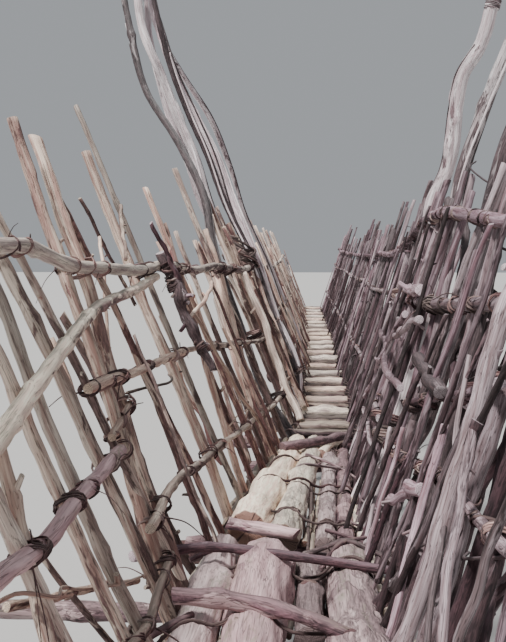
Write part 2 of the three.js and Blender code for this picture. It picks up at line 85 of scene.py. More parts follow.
# Logs: across and along at both ends, and both radii
NEAR_LOG_BED = 130.0
SECOND_LOG_BED = 94.0
NEAR_LOGS = {
    "deck_log_left": ((-214, -210), (30, 1760), (57, 51)),
    "deck_log_middle": ((-70, -66), (-20, 1590), (74, 70)),
    "deck_log_inner": ((62, 60), (1085, 1700), (38, 34)),
    "deck_log_short": ((60, 60), (60, 925), (42, 40)),
    "deck_log_right": ((182, 174), (0, 1610), (70, 64)),
}
SECOND_LOGS = {
    "deck_pole_left": ((-139, -8), (1830, 3420), (61, 46)),
    "deck_pole_middle": ((-24, 82), (1740, 3455), (54, 42)),
    "deck_pole_inner": ((110, 157), (1760, 3400), (33, 29)),
    "deck_pole_right": ((175, 216), (1740, 3440), (29, 26)),
}
# Cross poles: places across and along, radii, where they bear on the logs, tone, bark
CROSS_POLES = {
    "deck_crosspole": ([(-410, 1290), (-200, 1430), (-20, 1405), (305, 1330)], (15, 12), 1390.0, 0.7,
                       (0.4, 0.7, 1.0, 0.9)),
    "deck_crosspole_near": ([(-254, 1012), (-66, 1000), (40, 950), (150, 862)], (20, 15), 1000.0, 0.4,
                            (0.6, 0.4, 0.8)),
}

# Stakes: foot along, foot height, top along, top height, radius
NEAR_LEFT_STAKES = [
    (130, -170, 110, 1090, 17), (300, -180, 720, 1010, 15), (470, -185, 390, 1170, 17),
    (777, -180, 615, 1150, 15), (862, -190, 790, 1130, 16), (1135, -185, 905, 1180, 18),
    (1325, -105, 985, 1090, 12), (1144, -185, 1488, 1229, 19), (1262, -180, 1608, 1195, 22),
    (1650, -170, 1700, 585, 12), (1866, -175, 1575, 1066, 12), (2055, -180, 2117, 1224, 20),
    (2285, -170, 2215, 1397, 12),
]
SECOND_LEFT_STAKES = [
    (2350, -175, 2790, 1010, 15), (2540, -180, 2600, 930, 13), (2800, -190, 2740, 1160, 16),
    (2950, -170, 3020, 990, 13), (3085, -180, 3600, 1017, 34), (3330, -180, 3300, 960, 14),
    (3478, -180, 3489, 1333, 18), (3800, -200, 3880, 1120, 17), (4060, -180, 3990, 1230, 15),
    (4250, -190, 4330, 1080, 18), (4410, -180, 4390, 1200, 14),
]
NEAR_RIGHT_STAKES = [
    (120, -180, 140, 1150, 17), (520, -180, 610, 1090, 15),
    (690, -185, 640, 1210, 16), (870, -180, 950, 1190, 20), (1060, -180, 1440, 980, 14),
    (1160, -190, 1060, 1100, 17), (1335, -180, 1490, 1180, 14), (1500, -170, 2060, 1120, 14),
    (1580, -180, 1530, 1250, 13), (1789, -180, 1640, 1110, 13), (1840, -185, 1930, 1060, 14),
    (2090, -175, 2230, 1160, 13), (2240, -170, 2180, 1040, 12),
]

# Rails: radius at each end, then along and height of each point
NEAR_LEFT_RAILS = [
    ((17, 16), [(0, 322), (450, 300), (800, 322), (1180, 338)]),
    ((14, 12), [(1100, 500), (1520, 498), (1900, 505), (2300, 501)]),
    ((14, 12), [(1150, 145), (1565, 183), (2000, 166), (2300, 155)]),
    ((13, 12), [(0, 60), (470, 48), (900, 20), (1240, 55)]),
    ((11, 9), [(1160, 374), (1420, 428)]),
]
SECOND_LEFT_RAILS = [
    ((11, 10), [(2300, 501), (2650, 492), (3100, 468), (3700, 440), (4150, 452), (4600, 470)]),
    ((11, 11), [(2300, 155), (2700, 146), (3290, 130), (3800, 150), (4600, 150)]),
]
NEAR_RIGHT_RAILS = [
    ((18, 17), [(0, 735), (600, 722), (1070, 713), (1760, 694), (2300, 690)]),
    ((12, 12), [(0, 345), (870, 311), (1750, 240), (2300, 215)]),
    ((15, 12), [(840, 556), (1300, 470), (1800, 385)]),
]
LEFT_HAND_RAIL = [
    (0, 846), (500, 836), (880, 834), (1060, 842), (1220, 822), (1330, 806), (1630, 800),
    (2060, 798), (2440, 822), (2900, 805), (3400, 828), (3900, 812), (4600, 826),
]
RIGHT_HAND_RAIL = [
    (0, 905), (700, 910), (1300, 914), (1500, 936), (1730, 962), (1980, 990), (2300, 1012),
    (2700, 1034), (3300, 1040), (3900, 990), (4600, 925),
]
LEFT_BRACE = ((20, 15), [(110, 394), (485, 487), (720, 537), (1046, 605), (1413, 681), (1881, 732),
                         (2280, 776)])

# Stays: side, radii, tone, bark, low points on the fence (along, height, out),
# high points (across, along, height)
STAYS = {
    "left_stay_1": (LEFT, (23, 18), 0.15, 1.0,
        [(3662, -190, 4), (3662, -30, 4), (3668, 140, 45), (3690, 500, 47), (3800, 960, 50)],
        [(-529, 3890, 1207), (-700, 4010, 1550), (-890, 4105, 1847), (-985, 4190, 2170),
         (-1066, 4290, 2510)]),
    "left_stay_2": (LEFT, (32, 26), 1.0, 0.0,
        [(4505, -250, 12), (4505, -30, 12), (4508, 150, 54), (4530, 500, 56), (4555, 960, 58)],
        [(-590, 4565, 1241), (-676, 4575, 1534), (-776, 4580, 1764), (-882, 4580, 2036), (-990, 4580, 2294),
         (-1032, 4580, 2560)]),
    "left_stay_3": (LEFT, (24, 19), 0.5, 0.4,
        [(4582, -140, 5), (4582, -30, 5), (4584, 150, 46), (4600, 500, 50), (4625, 960, 52)],
        [(-640, 4650, 1241), (-738, 4660, 1534), (-830, 4660, 1764), (-905, 4665, 2036), (-968, 4670, 2294),
         (-985, 4670, 2580)]),
    "left_stay_4": (LEFT, (30, 23), 1.0, 0.25,
        [(4702, -250, 11), (4702, -30, 11), (4702, 155, -64), (4700, 480, -64), (4698, 820, -82)],
        [(-446, 4690, 1247), (-552, 4680, 1541), (-690, 4670, 1820), (-815, 4660, 2073), (-925, 4700, 2382),
         (-1000, 4740, 2600)]),
    "left_stay_5": (LEFT, (20, 16), 0.1, 1.0,
        [(4640, -140, 1), (4640, -30, 1), (4640, 155, -55), (4638, 480, -56), (4636, 820, -72)],
        [(-492, 4622, 1247), (-600, 4606, 1541), (-716, 4590, 1800), (-812, 4540, 2060), (-880, 4510, 2330),
         (-925, 4490, 2560)]),
    "left_stay_6": (LEFT, (18, 13), 0.55, 0.5,
        [(6836, -230, 0), (6836, -30, 0), (6780, 150, -54), (6640, 480, -54), (6430, 820, -70)],
        [(-491, 6150, 1297), (-575, 5890, 1612), (-690, 5640, 1930), (-875, 5384, 2222), (-1010, 5150, 2480),
         (-1066, 5010, 2680)]),
    "right_stay_1": (RIGHT, (36, 31), 0.55, 0.4,
        [(3524, -200, 16), (3524, -30, 16), (3518, 150, 56), (3480, 500, 54), (3440, 960, 32)],
        [(640, 3410, 1136), (708, 3385, 1297), (744, 3356, 1595), (766, 3342, 1737), (842, 3330, 1867),
         (908, 3305, 2100)]),
    "right_stay_2": (RIGHT, (25, 22), 0.4, 0.6,
        [(2376, -240, 6), (2376, -30, 6), (2392, 150, 46), (2430, 500, 48), (2450, 960, 32)],
        [(622, 2440, 1166), (684, 2389, 1379), (758, 2330, 1596), (810, 2300, 1740), (868, 2268, 1905)]),
    "right_stay_3": (RIGHT, (32, 30), 0.35, 0.7,
        [(2012, -170, 12), (2012, -30, 12), (1990, 150, 54), (1890, 500, 56), (1800, 960, 46)],
        [(645, 1724, 1166), (692, 1700, 1290), (756, 1672, 1450), (826, 1645, 1620)]),
}
EYE_R = 58.0
SILL_R = 95.0
SILL_CENTRE = 80.0
SILL_STEP = 720.0
CHEEK_R = 85.0
CHEEK_SPREAD = 420.0
CHEEK_ENDS = (-170, 900)
HEADER_STEP = 180.0
HEADER_REACH = 590.0
CRIB_REACH = 640.0
# Where the vine along the slats' edges becomes coarser
EDGE_BREAK = 6900
STAKE_SPACING = {LEFT: 275.0, RIGHT: 215.0}
PANEL_ENDS = [0, 1, 2, 4, 6]
# The right fence is made of the grey shade wood: painted shade over that side.
FENCE_WOOD = {LEFT: "stake", RIGHT: "shade"}
FENCE_SLOT = {"left": "stake_wood", "right": "grey_wood"}


# The bridge's own curves
def between(table, at):
    """A smooth run from each point of a table to the next."""
    if at <= table[0][0]:
        return table[0][1]
    for (a, low), (b, high) in zip(table, table[1:]):
        if at <= b:
            t = (at - a) / (b - a)
            return low + (high - low) * t * t * (3 - 2 * t)
    return table[-1][1]


def chance(seed):
    """The same random numbers that the CAD source draws."""
    state = [seed]

    def roll(low, high):
        state[0] = (state[0] * 1664525 + 1013904223) % 4294967296
        return low + (high - low) * (state[0] / 4294967296)
    return roll


def share(pair, t):
    return pair[0] + (pair[1] - pair[0]) * t


def nearest(value):
    return int(math.floor(value + 0.5))


def deck_level(y):
    t = min(max(y / LENGTH, 0), 1)
    return END_LEVEL - 4 * SAG * t * (1 - t)


def deck_centre(y):
    return between(CENTRE_LINE, y)


def deck_half(y):
    return between(HALF_WIDTH, y)


def bearer_level(y):
    return deck_level(y) - between(BEARER_DEPTH, y)


def joist_level(y):
    return bearer_level(y) + BEARER_R * OCTAGON + JOIST_R - PRESS


def stations(start, end):
    """Places along a long rail or bearer."""
    spots = []
    y = start
    while y < end - LAST_STEP:
        spots.append(y)
        y += NEAR_STEP if y < NEAR_PART else FAR_STEP
    return spots + [end]


def on_fence(side, y, height, out=0.0):
    """A place in a leaning fence, by how far along, up and outward it is."""
    lean = LEAN[side]
    x = deck_centre(y) + side * (deck_half(y) + FENCE_FOOT + height * math.tan(lean) + out * math.cos(lean))
    return np.array((x, y, deck_level(y) + height - out * math.sin(lean)))


def unit(v):
    v = np.array(v, float)
    return v / max(np.linalg.norm(v), 1e-9)


# One piece's vertices and faces, with each vertex's place in its own stick
class Pile:
    def __init__(self):
        self.sticks = []
        self.count = 0

    def add(self, points, grain, wood, quads, tris):
        self.sticks.append((points, grain, wood, quads + self.count, tris + self.count))
        self.count += len(points)

    def piece(self, name, material, slot, *nodes):
        points, grain, wood, quads, tris = (np.concatenate(rows) for rows in zip(*self.sticks))
        points[:, 2] = np.maximum(points[:, 2], 0.0)
        corners = np.concatenate([quads.ravel(), tris.ravel()])
        starts = np.concatenate([np.arange(len(quads)) * 4, len(quads) * 4 + np.arange(len(tris)) * 3])
        mesh = bpy.data.meshes.new(name)
        mesh.vertices.add(len(points))
        mesh.loops.add(len(corners))
        mesh.polygons.add(len(starts))
        mesh.vertices.foreach_set("co", (points * MM).astype(np.float32).ravel())
        mesh.loops.foreach_set("vertex_index", corners.astype(np.int32))
        mesh.polygons.foreach_set("loop_start", starts.astype(np.int32))
        mesh.update(calc_edges=True)
        mesh.polygons.foreach_set("use_smooth", np.ones(len(starts), bool))
        for label, kind, key, values in (("grain", "FLOAT_VECTOR", "vector", grain * MM),
                                         ("wood", "FLOAT_COLOR", "color", wood)):
            layer = mesh.attributes.new(label, kind, "POINT")
            layer.data.foreach_set(key, values.astype(np.float32).ravel())
        mesh.materials.append(WOODS[material])
        mesh.validate()
        thing = bpy.data.objects.new(name, mesh)
        bpy.context.scene.collection.objects.link(thing)
        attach(thing, "root")
        if nodes:
            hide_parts(*nodes)


def steps_of(points):
    """The distance from each point of a path to the next."""
    return np.linalg.norm(np.diff(points, axis=0), axis=1)


def spline(path, count):
    """A smooth curve through every point of the path."""
    points = np.array(path, float)
    if len(points) < 3:
        t = np.linspace(0, 1, count)[:, None]
        return points[0] + (points[-1] - points[0]) * t, np.linspace(0, len(points) - 1, count)
    spans = np.maximum(steps_of(points), 1e-6)
    knots = np.concatenate([[0], np.cumsum(spans)])
    slopes = np.empty_like(points)
    slopes[0] = (points[1] - points[0]) / spans[0]
    slopes[-1] = (points[-1] - points[-2]) / spans[-1]
    before = (points[1:-1] - points[:-2]) / spans[:-1, None]
    after = (points[2:] - points[1:-1]) / spans[1:, None]
    weight = (spans[:-1] / (spans[:-1] + spans[1:]))[:, None]
    slopes[1:-1] = before * (1 - weight) + after * weight
    at = np.linspace(0, knots[-1], count)
    i = np.clip(np.searchsorted(knots, at, side="right") - 1, 0, len(spans) - 1)
    h = spans[i][:, None]
    t = ((at - knots[i]) / spans[i])[:, None]
    curve = ((2 * t ** 3 - 3 * t ** 2 + 1) * points[i] + (t ** 3 - 2 * t ** 2 + t) * h * slopes[i]
             + (-2 * t ** 3 + 3 * t ** 2) * points[i + 1] + (t ** 3 - t ** 2) * h * slopes[i + 1])
    return curve, i + t[:, 0]


def even(points, count):
    """Evenly spaced places on a path of straight pieces."""
    spans = np.concatenate([[0], np.cumsum(steps_of(points))])
    at = np.linspace(0, spans[-1], count)
    curve = np.stack([np.interp(at, spans, column) for column in points.T], axis=1)
    return curve, np.interp(at, spans, np.arange(len(points)))


def frames_along(curve, up=None):
    """Three directions at each point of a curve: ahead, and two across that don't twist."""
    ahead = np.gradient(curve, axis=0)
    ahead /= np.maximum(np.linalg.norm(ahead, axis=1, keepdims=True), 1e-9)
    across = np.empty_like(ahead)
    first = np.array(up if up is not None else ((0, 1, 0) if abs(ahead[0][2]) > 0.8 else (0, 0, 1)), float)
    for i, a in enumerate(ahead):
        first = first - a * first.dot(a)
        first = first / max(np.linalg.norm(first), 1e-9)
        across[i] = first
    return ahead, across, np.cross(ahead, across)


def wandered(rng, curve, along, axes, wander):
    """The curve with slow waves added in two directions."""
    for axis in axes:
        swing = np.zeros(len(along))
        for k in range(1, 4):
            wave = along[-1] / rng.uniform(0.7, 1.6) / k
            swing += np.sin(math.tau * along / wave + rng.uniform(0, ROUND)) / k
        curve = curve + axis * (swing * wander)[:, None]
    return curve


def swollen(rng, a, s, mean, lump, flute):
    """How much thicker or thinner a stick is at each angle a and distance s, with its flutes."""
    shape = np.ones_like(a)
    for k in range(1, 5):
        wave = mean * rng.uniform(7, 16)
        turn = rng.uniform(0, ROUND) + 0.8 * np.sin(math.tau * s / wave + rng.uniform(0, ROUND))
        shape += lump / k * np.cos(k * a + turn) * (0.6 + 0.4 * np.cos(math.tau * s / (wave * 0.6)))
    shape += lump * 0.5 * np.sin(math.tau * s / (mean * rng.uniform(5, 9)) + rng.uniform(0, ROUND))
    if flute:
        teeth = rng.randint(6, 9)
        drift = np.sin(math.tau * s / (mean * 11) + rng.uniform(0, ROUND))
        shape += flute * (np.abs(np.cos(teeth * 0.5 * a + drift)) - 0.6)
        shape += flute * 0.6 * np.cos((teeth + 4) * a + 2 * drift + s / mean)
    return shape


# The two rings on a stick's cut end: their share of its radius, how far they stand out
OUTER_RING, OUTER_RISE = 0.93, 0.05
INNER_RING, INNER_RISE = 0.45, 0.07


def stick(pile, path, radii, seed, sides=12, step=30.0, wander=0.0, lump=0.06, flute=0.0, knots=0, tone=0.5,
          bark=0.5, up=None, flat=1.0, slant=0.25, straight=False, stubs=0):
    """One natural stick: wandering, lumpy, knotted and chopped off at its ends."""
    rng = random.Random(seed)
    points = np.array(path, float)
    length = float(steps_of(points).sum())
    rows = max(4, int(length / step) + 2)
    curve, place = (even if straight and len(points) > 2 else spline)(points, rows)
    radii = np.interp(place, np.linspace(0, len(points) - 1, len(radii)), radii)
    along = np.linspace(0, length, rows)
    ahead, across, third = frames_along(curve, up)
    if wander:
        curve = wandered(rng, curve, along, (across, third), wander)
    angle = np.arange(sides) * math.tau / sides
    a, s = np.meshgrid(angle, along)
    mean = float(radii.mean())
    shape = swollen(rng, a, s, mean, lump, flute)
    branches = []
    for _ in range(knots):
        spot = rng.uniform(0.06, 0.94) * length
        turn = rng.uniform(0, math.tau)
        away = np.angle(np.exp(1j * (a - turn)))
        size = rng.uniform(0.14, 0.34)
        reach = mean * rng.uniform(0.7, 1.3)
        shape += size * np.exp(-((s - spot) / reach) ** 2 - (away / 0.7) ** 2)
        shape += size * 0.3 * np.exp(-((s - spot) / (reach * 1.6)) ** 2)
        branches.append((spot, turn))
    radius = radii[:, None] * shape
    x = radius * np.cos(a) * flat
    y = radius * np.sin(a)
    for row in (0, rows - 1):
        turn = rng.uniform(0, ROUND)
        tilt = slant * radii[row] * rng.uniform(0.2, 1.0)
        s[row] = s[row] + tilt * np.cos(angle - turn)
    base = curve[:, None, :] + across[:, None, :] * x[..., None] + third[:, None, :] * y[..., None]
    base = base + ahead[:, None, :] * (s - along[:, None])[..., None]
    offset = rng.uniform(0, 40000)
    warm = rng.random()
    bark = np.atleast_1d(bark)
    bark_rows = np.interp(np.linspace(0, 1, rows), np.linspace(0, 1, len(bark)), bark)
    wood = np.zeros((rows, sides, 4))
    wood[..., 0] = tone
    wood[..., 1] = bark_rows[:, None]
    wood[..., 3] = warm
    points_out = [base.reshape(-1, 3)]
    grain_out = [np.stack([x, y, s + offset], axis=2).reshape(-1, 3)]
    wood_out = [wood.reshape(-1, 4)]
    j = np.arange(sides)
    k = (j + 1) % sides
    i = np.arange(rows - 1)[:, None] * sides
    quads = [np.stack([i + j, i + k, i + sides + k, i + sides + j], axis=2).reshape(-1, 4)]
    tris = []
    total = rows * sides
    cap = 2 * sides + 1
    for end, row in ((0, 0), (1, rows - 1)):
        rim = base[row]
        middle = rim.mean(axis=0)
        bulge = ahead[row] * (1 if end else -1) * radii[row]
        inner = np.stack([x[row], y[row]], axis=1)
        points_out += [middle + (rim - middle) * OUTER_RING + bulge * OUTER_RISE,
                       middle + (rim - middle) * INNER_RING + bulge * INNER_RISE,
                       [middle + bulge * INNER_RISE]]
        rings = np.concatenate([inner * OUTER_RING, inner * INNER_RING, np.zeros((1, 2))])
        grain_out.append(np.concatenate([rings, np.full((cap, 1), offset + end * length)], axis=1))
        wood_out.append(np.tile([tone, 0.0, 1.0, warm], (cap, 1)))
        for low, high in ((row * sides, total), (total, total + sides)):
            ring = np.stack([low + j, low + k, high + k, high + j], axis=1)
            quads.append(ring if end else ring[:, ::-1])
        fan = np.stack([total + sides + j, total + sides + k, np.full(sides, total + cap - 1)], axis=1)
        tris.append(fan if end else fan[:, ::-1])
        total += cap
    pile.add(*(np.concatenate(part) for part in (points_out, grain_out, wood_out, quads, tris)))
    for spot, turn in branches[:stubs]:
        row = int(np.clip(np.searchsorted(along, spot), 1, rows - 2))
        away = across[row] * math.cos(turn) + third[row] * math.sin(turn)
        reach = radii[row] * rng.uniform(1.6, 3.2)
        tip = curve[row] + away * reach + ahead[row] * reach * rng.uniform(0.2, 1.0)
        thin = radii[row] * rng.uniform(0.3, 0.5)
        stick(pile, [curve[row], tip], (thin * 1.3, thin), seed * 3 + row, max(6, sides // 2), thin * 1.5,
              tone=tone, bark=bark_rows[row], slant=0.5)


def lone_stick(name, material, slot, node, *facts, **looks):
    """A piece that is one stick and takes the place of one node."""
    pile = Pile()
    stick(pile, *facts, **looks)
    pile.piece(name, material, slot, node)


def loops(pile, centre, wide, deep, half_wide, half_deep, radius, turns, drift, seed, steps=16, sides=6,
          tone=0.5, full=2.5, flat=1.0):
    """A vine wound round whatever lies within the two half sizes, and where it ends."""
    rng = random.Random(seed)
    centre, wide, deep, drift = (np.array(v, float) for v in (centre, wide, deep, drift))
    count = int(steps * turns) + 1
    start = rng.uniform(0, ROUND)
    path = []
    for i in range(count):
        t = start + math.tau * i / steps
        c, s = math.cos(t), math.sin(t)
        grow = 1 + rng.uniform(-0.03, 0.05)
        u = math.copysign(abs(c) ** (2 / full), c) * half_wide * grow
        v = math.copysign(abs(s) ** (2 / full), s) * half_deep * grow
        path.append(centre + wide * u + deep * v + drift * (i / (count - 1) - 0.5))
    stick(pile, path, (radius, radius * 0.9), seed, sides, math.tau * max(half_wide, half_deep) / steps,
          lump=0.1, tone=tone, bark=rng.uniform(0.1, 0.9), slant=0.1, straight=True, flat=flat,
          up=np.cross(wide, deep))
    return path[-1]


# Materials
class Graph:
    """A small helper that builds a node tree in reading order."""
    def __init__(self, name):
        self.material = bpy.data.materials.new(name)
        self.material.use_nodes = True
        self.tree = self.material.node_tree
        self.shader = self.tree.nodes["Principled BSDF"]

    def put(self, value, socket):
        if isinstance(value, bpy.types.NodeSocket):
            self.tree.links.new(value, socket)
        else:
            socket.default_value = (*value, 1.0) if socket.type == "RGBA" else value

    def node(self, kind, feeds=(), **settings):
        """The outputs of a new node whose inputs take the feeds, by number or by name."""
        made = self.tree.nodes.new("ShaderNode" + kind)
        for key, value in settings.items():
            setattr(made, key, value)
        for key, value in feeds.items() if isinstance(feeds, dict) else enumerate(feeds):
            self.put(value, made.inputs[key])
        return made.outputs

    def math(self, operation, *values):
        return self.node("Math", values, operation=operation)[0]

    def plus(self, a, b):
        return self.math("ADD", a, b)

    def minus(self, a, b):
        return self.math("SUBTRACT", a, b)

    def times(self, a, b):
        return self.math("MULTIPLY", a, b)

    def ramp(self, value, low, high, out_low=0.0, out_high=1.0):
        feeds = (value, low, high, out_low, out_high)
        return self.node("MapRange", feeds, interpolation_type="SMOOTHSTEP")[0]

    def mix(self, factor, a, b):
        return self.node("Mix", {0: factor, 6: a, 7: b}, data_type="RGBA", blend_type="MIX")[2]

    def noise(self, vector, stretch, detail, rough, warp=0.0):
        """Noise that changes this much along each direction of a place."""
        place = self.node("VectorMath", (vector, stretch), operation="MULTIPLY")[0]
        return self.node("TexNoise", {"Vector": place, "Scale": 1.0, "Detail": detail, "Roughness": rough,
                                      "Distortion": warp})["Fac"]


def srgb(code):
    return tuple(((code >> shift & 255) / 255) ** 2.2 for shift in (16, 8, 0))


def toned(colour, by):
    return tuple(min(1, c * by) for c in colour)


MOSS = srgb(0x6d7a5c)


def wood(name, *codes, fine=1.0, peel=0.0, bleach_and_highlight=0.35, moss=0.0, shine=0.62, relief=1.0, split=0.72,
         vary=1.0):
    """Bare and barked wood with cracks, moss, cut ends and a painted highlight on upward faces, from the
    grain and wood attributes.
    """
    pale, bare, bark, dark, heart = (srgb(code) for code in codes)
    g = Graph(name)
    grain = g.node("Attribute", attribute_name="grain")["Vector"]
    facts = g.node("Attribute", attribute_name="wood")
    tone, bark_share, cut = g.node("SeparateColor", [facts["Color"]])
    warm = facts["Alpha"]
    fibre = g.noise(grain, (420 * fine, 420 * fine, 16), 3, 0.6)
    streak = g.noise(grain, (95 * fine, 95 * fine, 5.5), 4, 0.6, 0.4)
    patch = g.noise(grain, (30 * fine, 30 * fine, 6.5), 4, 0.62, 0.5)
    blotch = g.noise(grain, (14, 14, 3.0), 2, 0.5)
    plate = g.noise(grain, (150 * fine, 150 * fine, 34), 3, 0.6, 0.6)
    seam = g.noise(grain, (210 * fine, 210 * fine, 3.2), 2, 0.5, 0.2)

    bare_wood = g.mix(g.ramp(streak, 0.36, 0.64), bare, pale)
    bare_wood = g.mix(g.ramp(blotch, 0.4, 0.7, 0.0, 0.55), bare_wood, toned(bare, 0.62))
    bark_wood = g.mix(g.ramp(plate, 0.38, 0.66), dark, bark)
    bark_wood = g.mix(g.ramp(patch, 0.45, 0.75, 0.0, 0.45), bark_wood, toned(bark, 1.7))
    level = g.plus(g.times(patch, 1.15), g.times(streak, 0.35))
    edge = g.minus(1.12 + peel, g.times(bark_share, 0.75))
    mask = g.ramp(g.minus(level, edge), -0.05, 0.05)
    colour = g.mix(mask, bare_wood, bark_wood)
    crack = g.ramp(g.math("ABSOLUTE", g.minus(seam, 0.5)), 0.0, 0.022, 1.0, 0.0)
    colour = g.mix(g.times(crack, split), colour, toned(dark, 0.35))
    colour = g.mix(g.ramp(fibre, 0.3, 0.72, 0.0, 0.32), colour, toned(bare, 0.5))

    # Upward faces are lightened toward the pale colour: partly sun-bleaching, partly a painted highlight
    # where the light falls on top.
    upright = g.node("SeparateXYZ", [g.node("NewGeometry")["Normal"]])[2]
    top_bleach_and_highlight = g.ramp(upright, 0.15, 0.95, 0.0, bleach_and_highlight)
    colour = g.mix(g.times(top_bleach_and_highlight, g.ramp(streak, 0.3, 0.6, 0.5, 1.0)), colour, toned(pale, 1.12))
    if moss:
        growth = g.times(g.ramp(blotch, 0.52, 0.66), g.ramp(plate, 0.42, 0.6))
        growth = g.times(growth, g.ramp(upright, -0.2, 0.5, 0.25, 1.0))
        colour = g.mix(g.times(growth, moss), colour, MOSS)

    across, third, _ = g.node("SeparateXYZ", [grain])
    reach = g.math("SQRT", g.plus(g.math("POWER", across, 2.0), g.math("POWER", third, 2.0)))
    ripple = g.plus(g.times(reach, 1500.0), g.times(blotch, 9.0))
    ring = g.plus(g.times(g.math("SINE", ripple), 0.5), 0.5)
    end_grain = g.mix(g.times(ring, 0.7), heart, toned(heart, 0.55))
    speck = g.noise(grain, (240, 240, 0), 3, 0.7)
    end_grain = g.mix(g.ramp(speck, 0.55, 0.75, 0.0, 0.6), end_grain, toned(dark, 0.5))
    spoke = g.node("VectorMath", (grain, (1, 1, 0)), operation="MULTIPLY")[0]
    spoke = g.node("VectorMath", [spoke], operation="NORMALIZE")[0]
    spokes = g.noise(spoke, (1.4, 1.4, 0), 3, 0.6)
    check = g.ramp(g.math("ABSOLUTE", g.minus(spokes, 0.5)), 0.0, 0.014, 0.85, 0.0)
    colour = g.mix(cut, colour, g.mix(g.times(check, cut), end_grain, toned(dark, 0.5)))
    shade = g.node("HueSaturation", {
        "Value": g.ramp(tone, 0.0, 1.0, 0.48, 1.3), "Color": colour,
        "Hue": g.ramp(warm, 0.0, 1.0, 0.5 - 0.008 * vary, 0.5 + 0.008 * vary),
        "Saturation": g.ramp(warm, 0.0, 1.0, 1 + 0.2 * vary, 1 - 0.22 * vary)})[0]

    roughness = g.plus(g.times(mask, 0.22), g.ramp(fibre, 0.3, 0.7, shine, shine + 0.14))
    height = g.plus(g.times(fibre, 0.35), g.times(mask, 0.9))
    height = g.plus(height, g.times(g.times(plate, mask), 1.3))
    height = g.minus(height, g.times(crack, 1.1))
    height = g.plus(height, g.times(g.times(ring, cut), 0.2))
    bump = g.node("Bump", {"Strength": 0.75, "Distance": 0.0022 * relief, "Height": height})[0]
    for key, value in (("Base Color", shade), ("Roughness", roughness), ("Normal", bump)):
        g.put(value, g.shader.inputs[key])
    return g.material


# Colours: pale bare wood, darker bare wood, bark, the bark's cracks, heartwood at a cut. The log, pole and
# crib woods' dark cut-end colours are partly weathered end grain and partly painted shade on the logs' ends.
WOODS = {
    "stake": wood("stake_wood", 0xf4e2d0, 0xb29186, 0x7a5e5c, 0x301f22, 0xe8d4c0),
    # The grey wood is the stake wood darkened and greyed: painted shade for the right fence and its hand
    # rail; a few dark sticks elsewhere use it as their own colour.
    "shade": wood("grey_wood", 0xbba8b0, 0x7d6469, 0x564246, 0x23181d, 0xcabac0, bleach_and_highlight=0.18, vary=1.2),
    "rail": wood("rail_wood", 0xf6e5d0, 0xb89b96, 0x806265, 0x332227, 0xe2cfbe, peel=0.04),
    "log": wood("log_wood", 0xd0b8b8, 0xaf9395, 0x85696f, 0x3e2e34, 0x8f7475, fine=0.55, moss=0.4,
                bleach_and_highlight=0.25, relief=2.0, split=0.45),
    "pole": wood("pole_wood", 0xfff0da, 0xdabdae, 0x8a6b6c, 0x38282c, 0x9a7c70, fine=0.6, peel=0.1,
                 moss=0.15, relief=1.6, split=0.6),
    "slat": wood("slat_wood", 0xf2e2cc, 0xad9390, 0x69545a, 0x281d22, 0xd8c6b6, peel=0.06, bleach_and_highlight=0.22),
    "bearer": wood("bearer_wood", 0x9c827a, 0x7a615e, 0x584343, 0x231619, 0x7c655f, fine=0.6, moss=0.3,
                   bleach_and_highlight=0.15, relief=2.0),
    "crib": wood("crib_wood", 0xac958c, 0x8a706b, 0x644e4e, 0x281a1d, 0x8c736a, fine=0.5, moss=0.5,
                 bleach_and_highlight=0.2, relief=2.6),
    "liana": wood("liana_bark", 0xfdf6f8, 0xcfbbbf, 0x6e5a5e, 0x2c2025, 0xd8cacd, fine=0.8, peel=0.06,
                  bleach_and_highlight=0.5, shine=0.34, split=0.5),
    "vine": wood("binding_vine", 0xb49a94, 0x7d635f, 0x553f42, 0x28191c, 0x8a7370, fine=1.8, peel=-0.05,
                 bleach_and_highlight=0.2, shine=0.6),
}


# Lashings where two sticks cross
def lash(pile, centre, first, second, normal, first_r, second_r, seed, detail):
    """Vine turns round the crossing of two sticks, some with a loose tail."""
    rng = random.Random(seed)
    first, second, normal = unit(first), unit(second), unit(normal)
    one, two = unit(first + second), unit(first - second)
    strip = rng.random() < 0.4
    vine_r = rng.uniform(1.5, 2.1) if strip else rng.uniform(2.0, 3.5)
    flat = 2.4 if strip else 1.0
    wide = max(first_r, second_r) * 1.22 + vine_r
    deep = first_r + second_r - 3 + vine_r
    steps, sides, rounds = {3: (16, 6, (1.2, 3.2)), 2: (10, 5, (1.0, 2.5)), 1: (7, 4, (1.0, 1.6))}[detail]
    ways = [(one, two), (two, one)]
    if rng.random() < 0.35:
        ways = [rng.choice(ways)]
    for k, (along, away) in enumerate(ways):
        turns = rng.uniform(*rounds)
        along = unit(along + away * rng.uniform(-0.3, 0.3))
        drift = away * vine_r * 2.1 * flat * turns
        tip = loops(pile, centre, along, normal, wide, deep, vine_r, turns, drift, seed * 7 + k, steps, sides,
                    rng.uniform(0.45, 1.0), flat=flat)
        if detail > 1 and rng.random() < 0.55:
            out = unit(tip - centre)
            out = out + [rng.uniform(-0.6, 0.6), rng.uniform(-0.8, 0.8), rng.uniform(-1.1, 0.4)]
            reach = rng.uniform(30, 110) * (0.6 if detail == 2 else 1)
            droop = np.array([0, 0, -reach * 0.3])
            stick(pile, [tip, tip + out * reach * 0.4, tip + out * reach * 0.8 + droop],
                  (vine_r * 0.8, vine_r * 0.4), seed * 11 + k, 5, 14, lump=0.08, tone=rng.uniform(0.3, 0.8),
                  bark=0.6, slant=0.1)


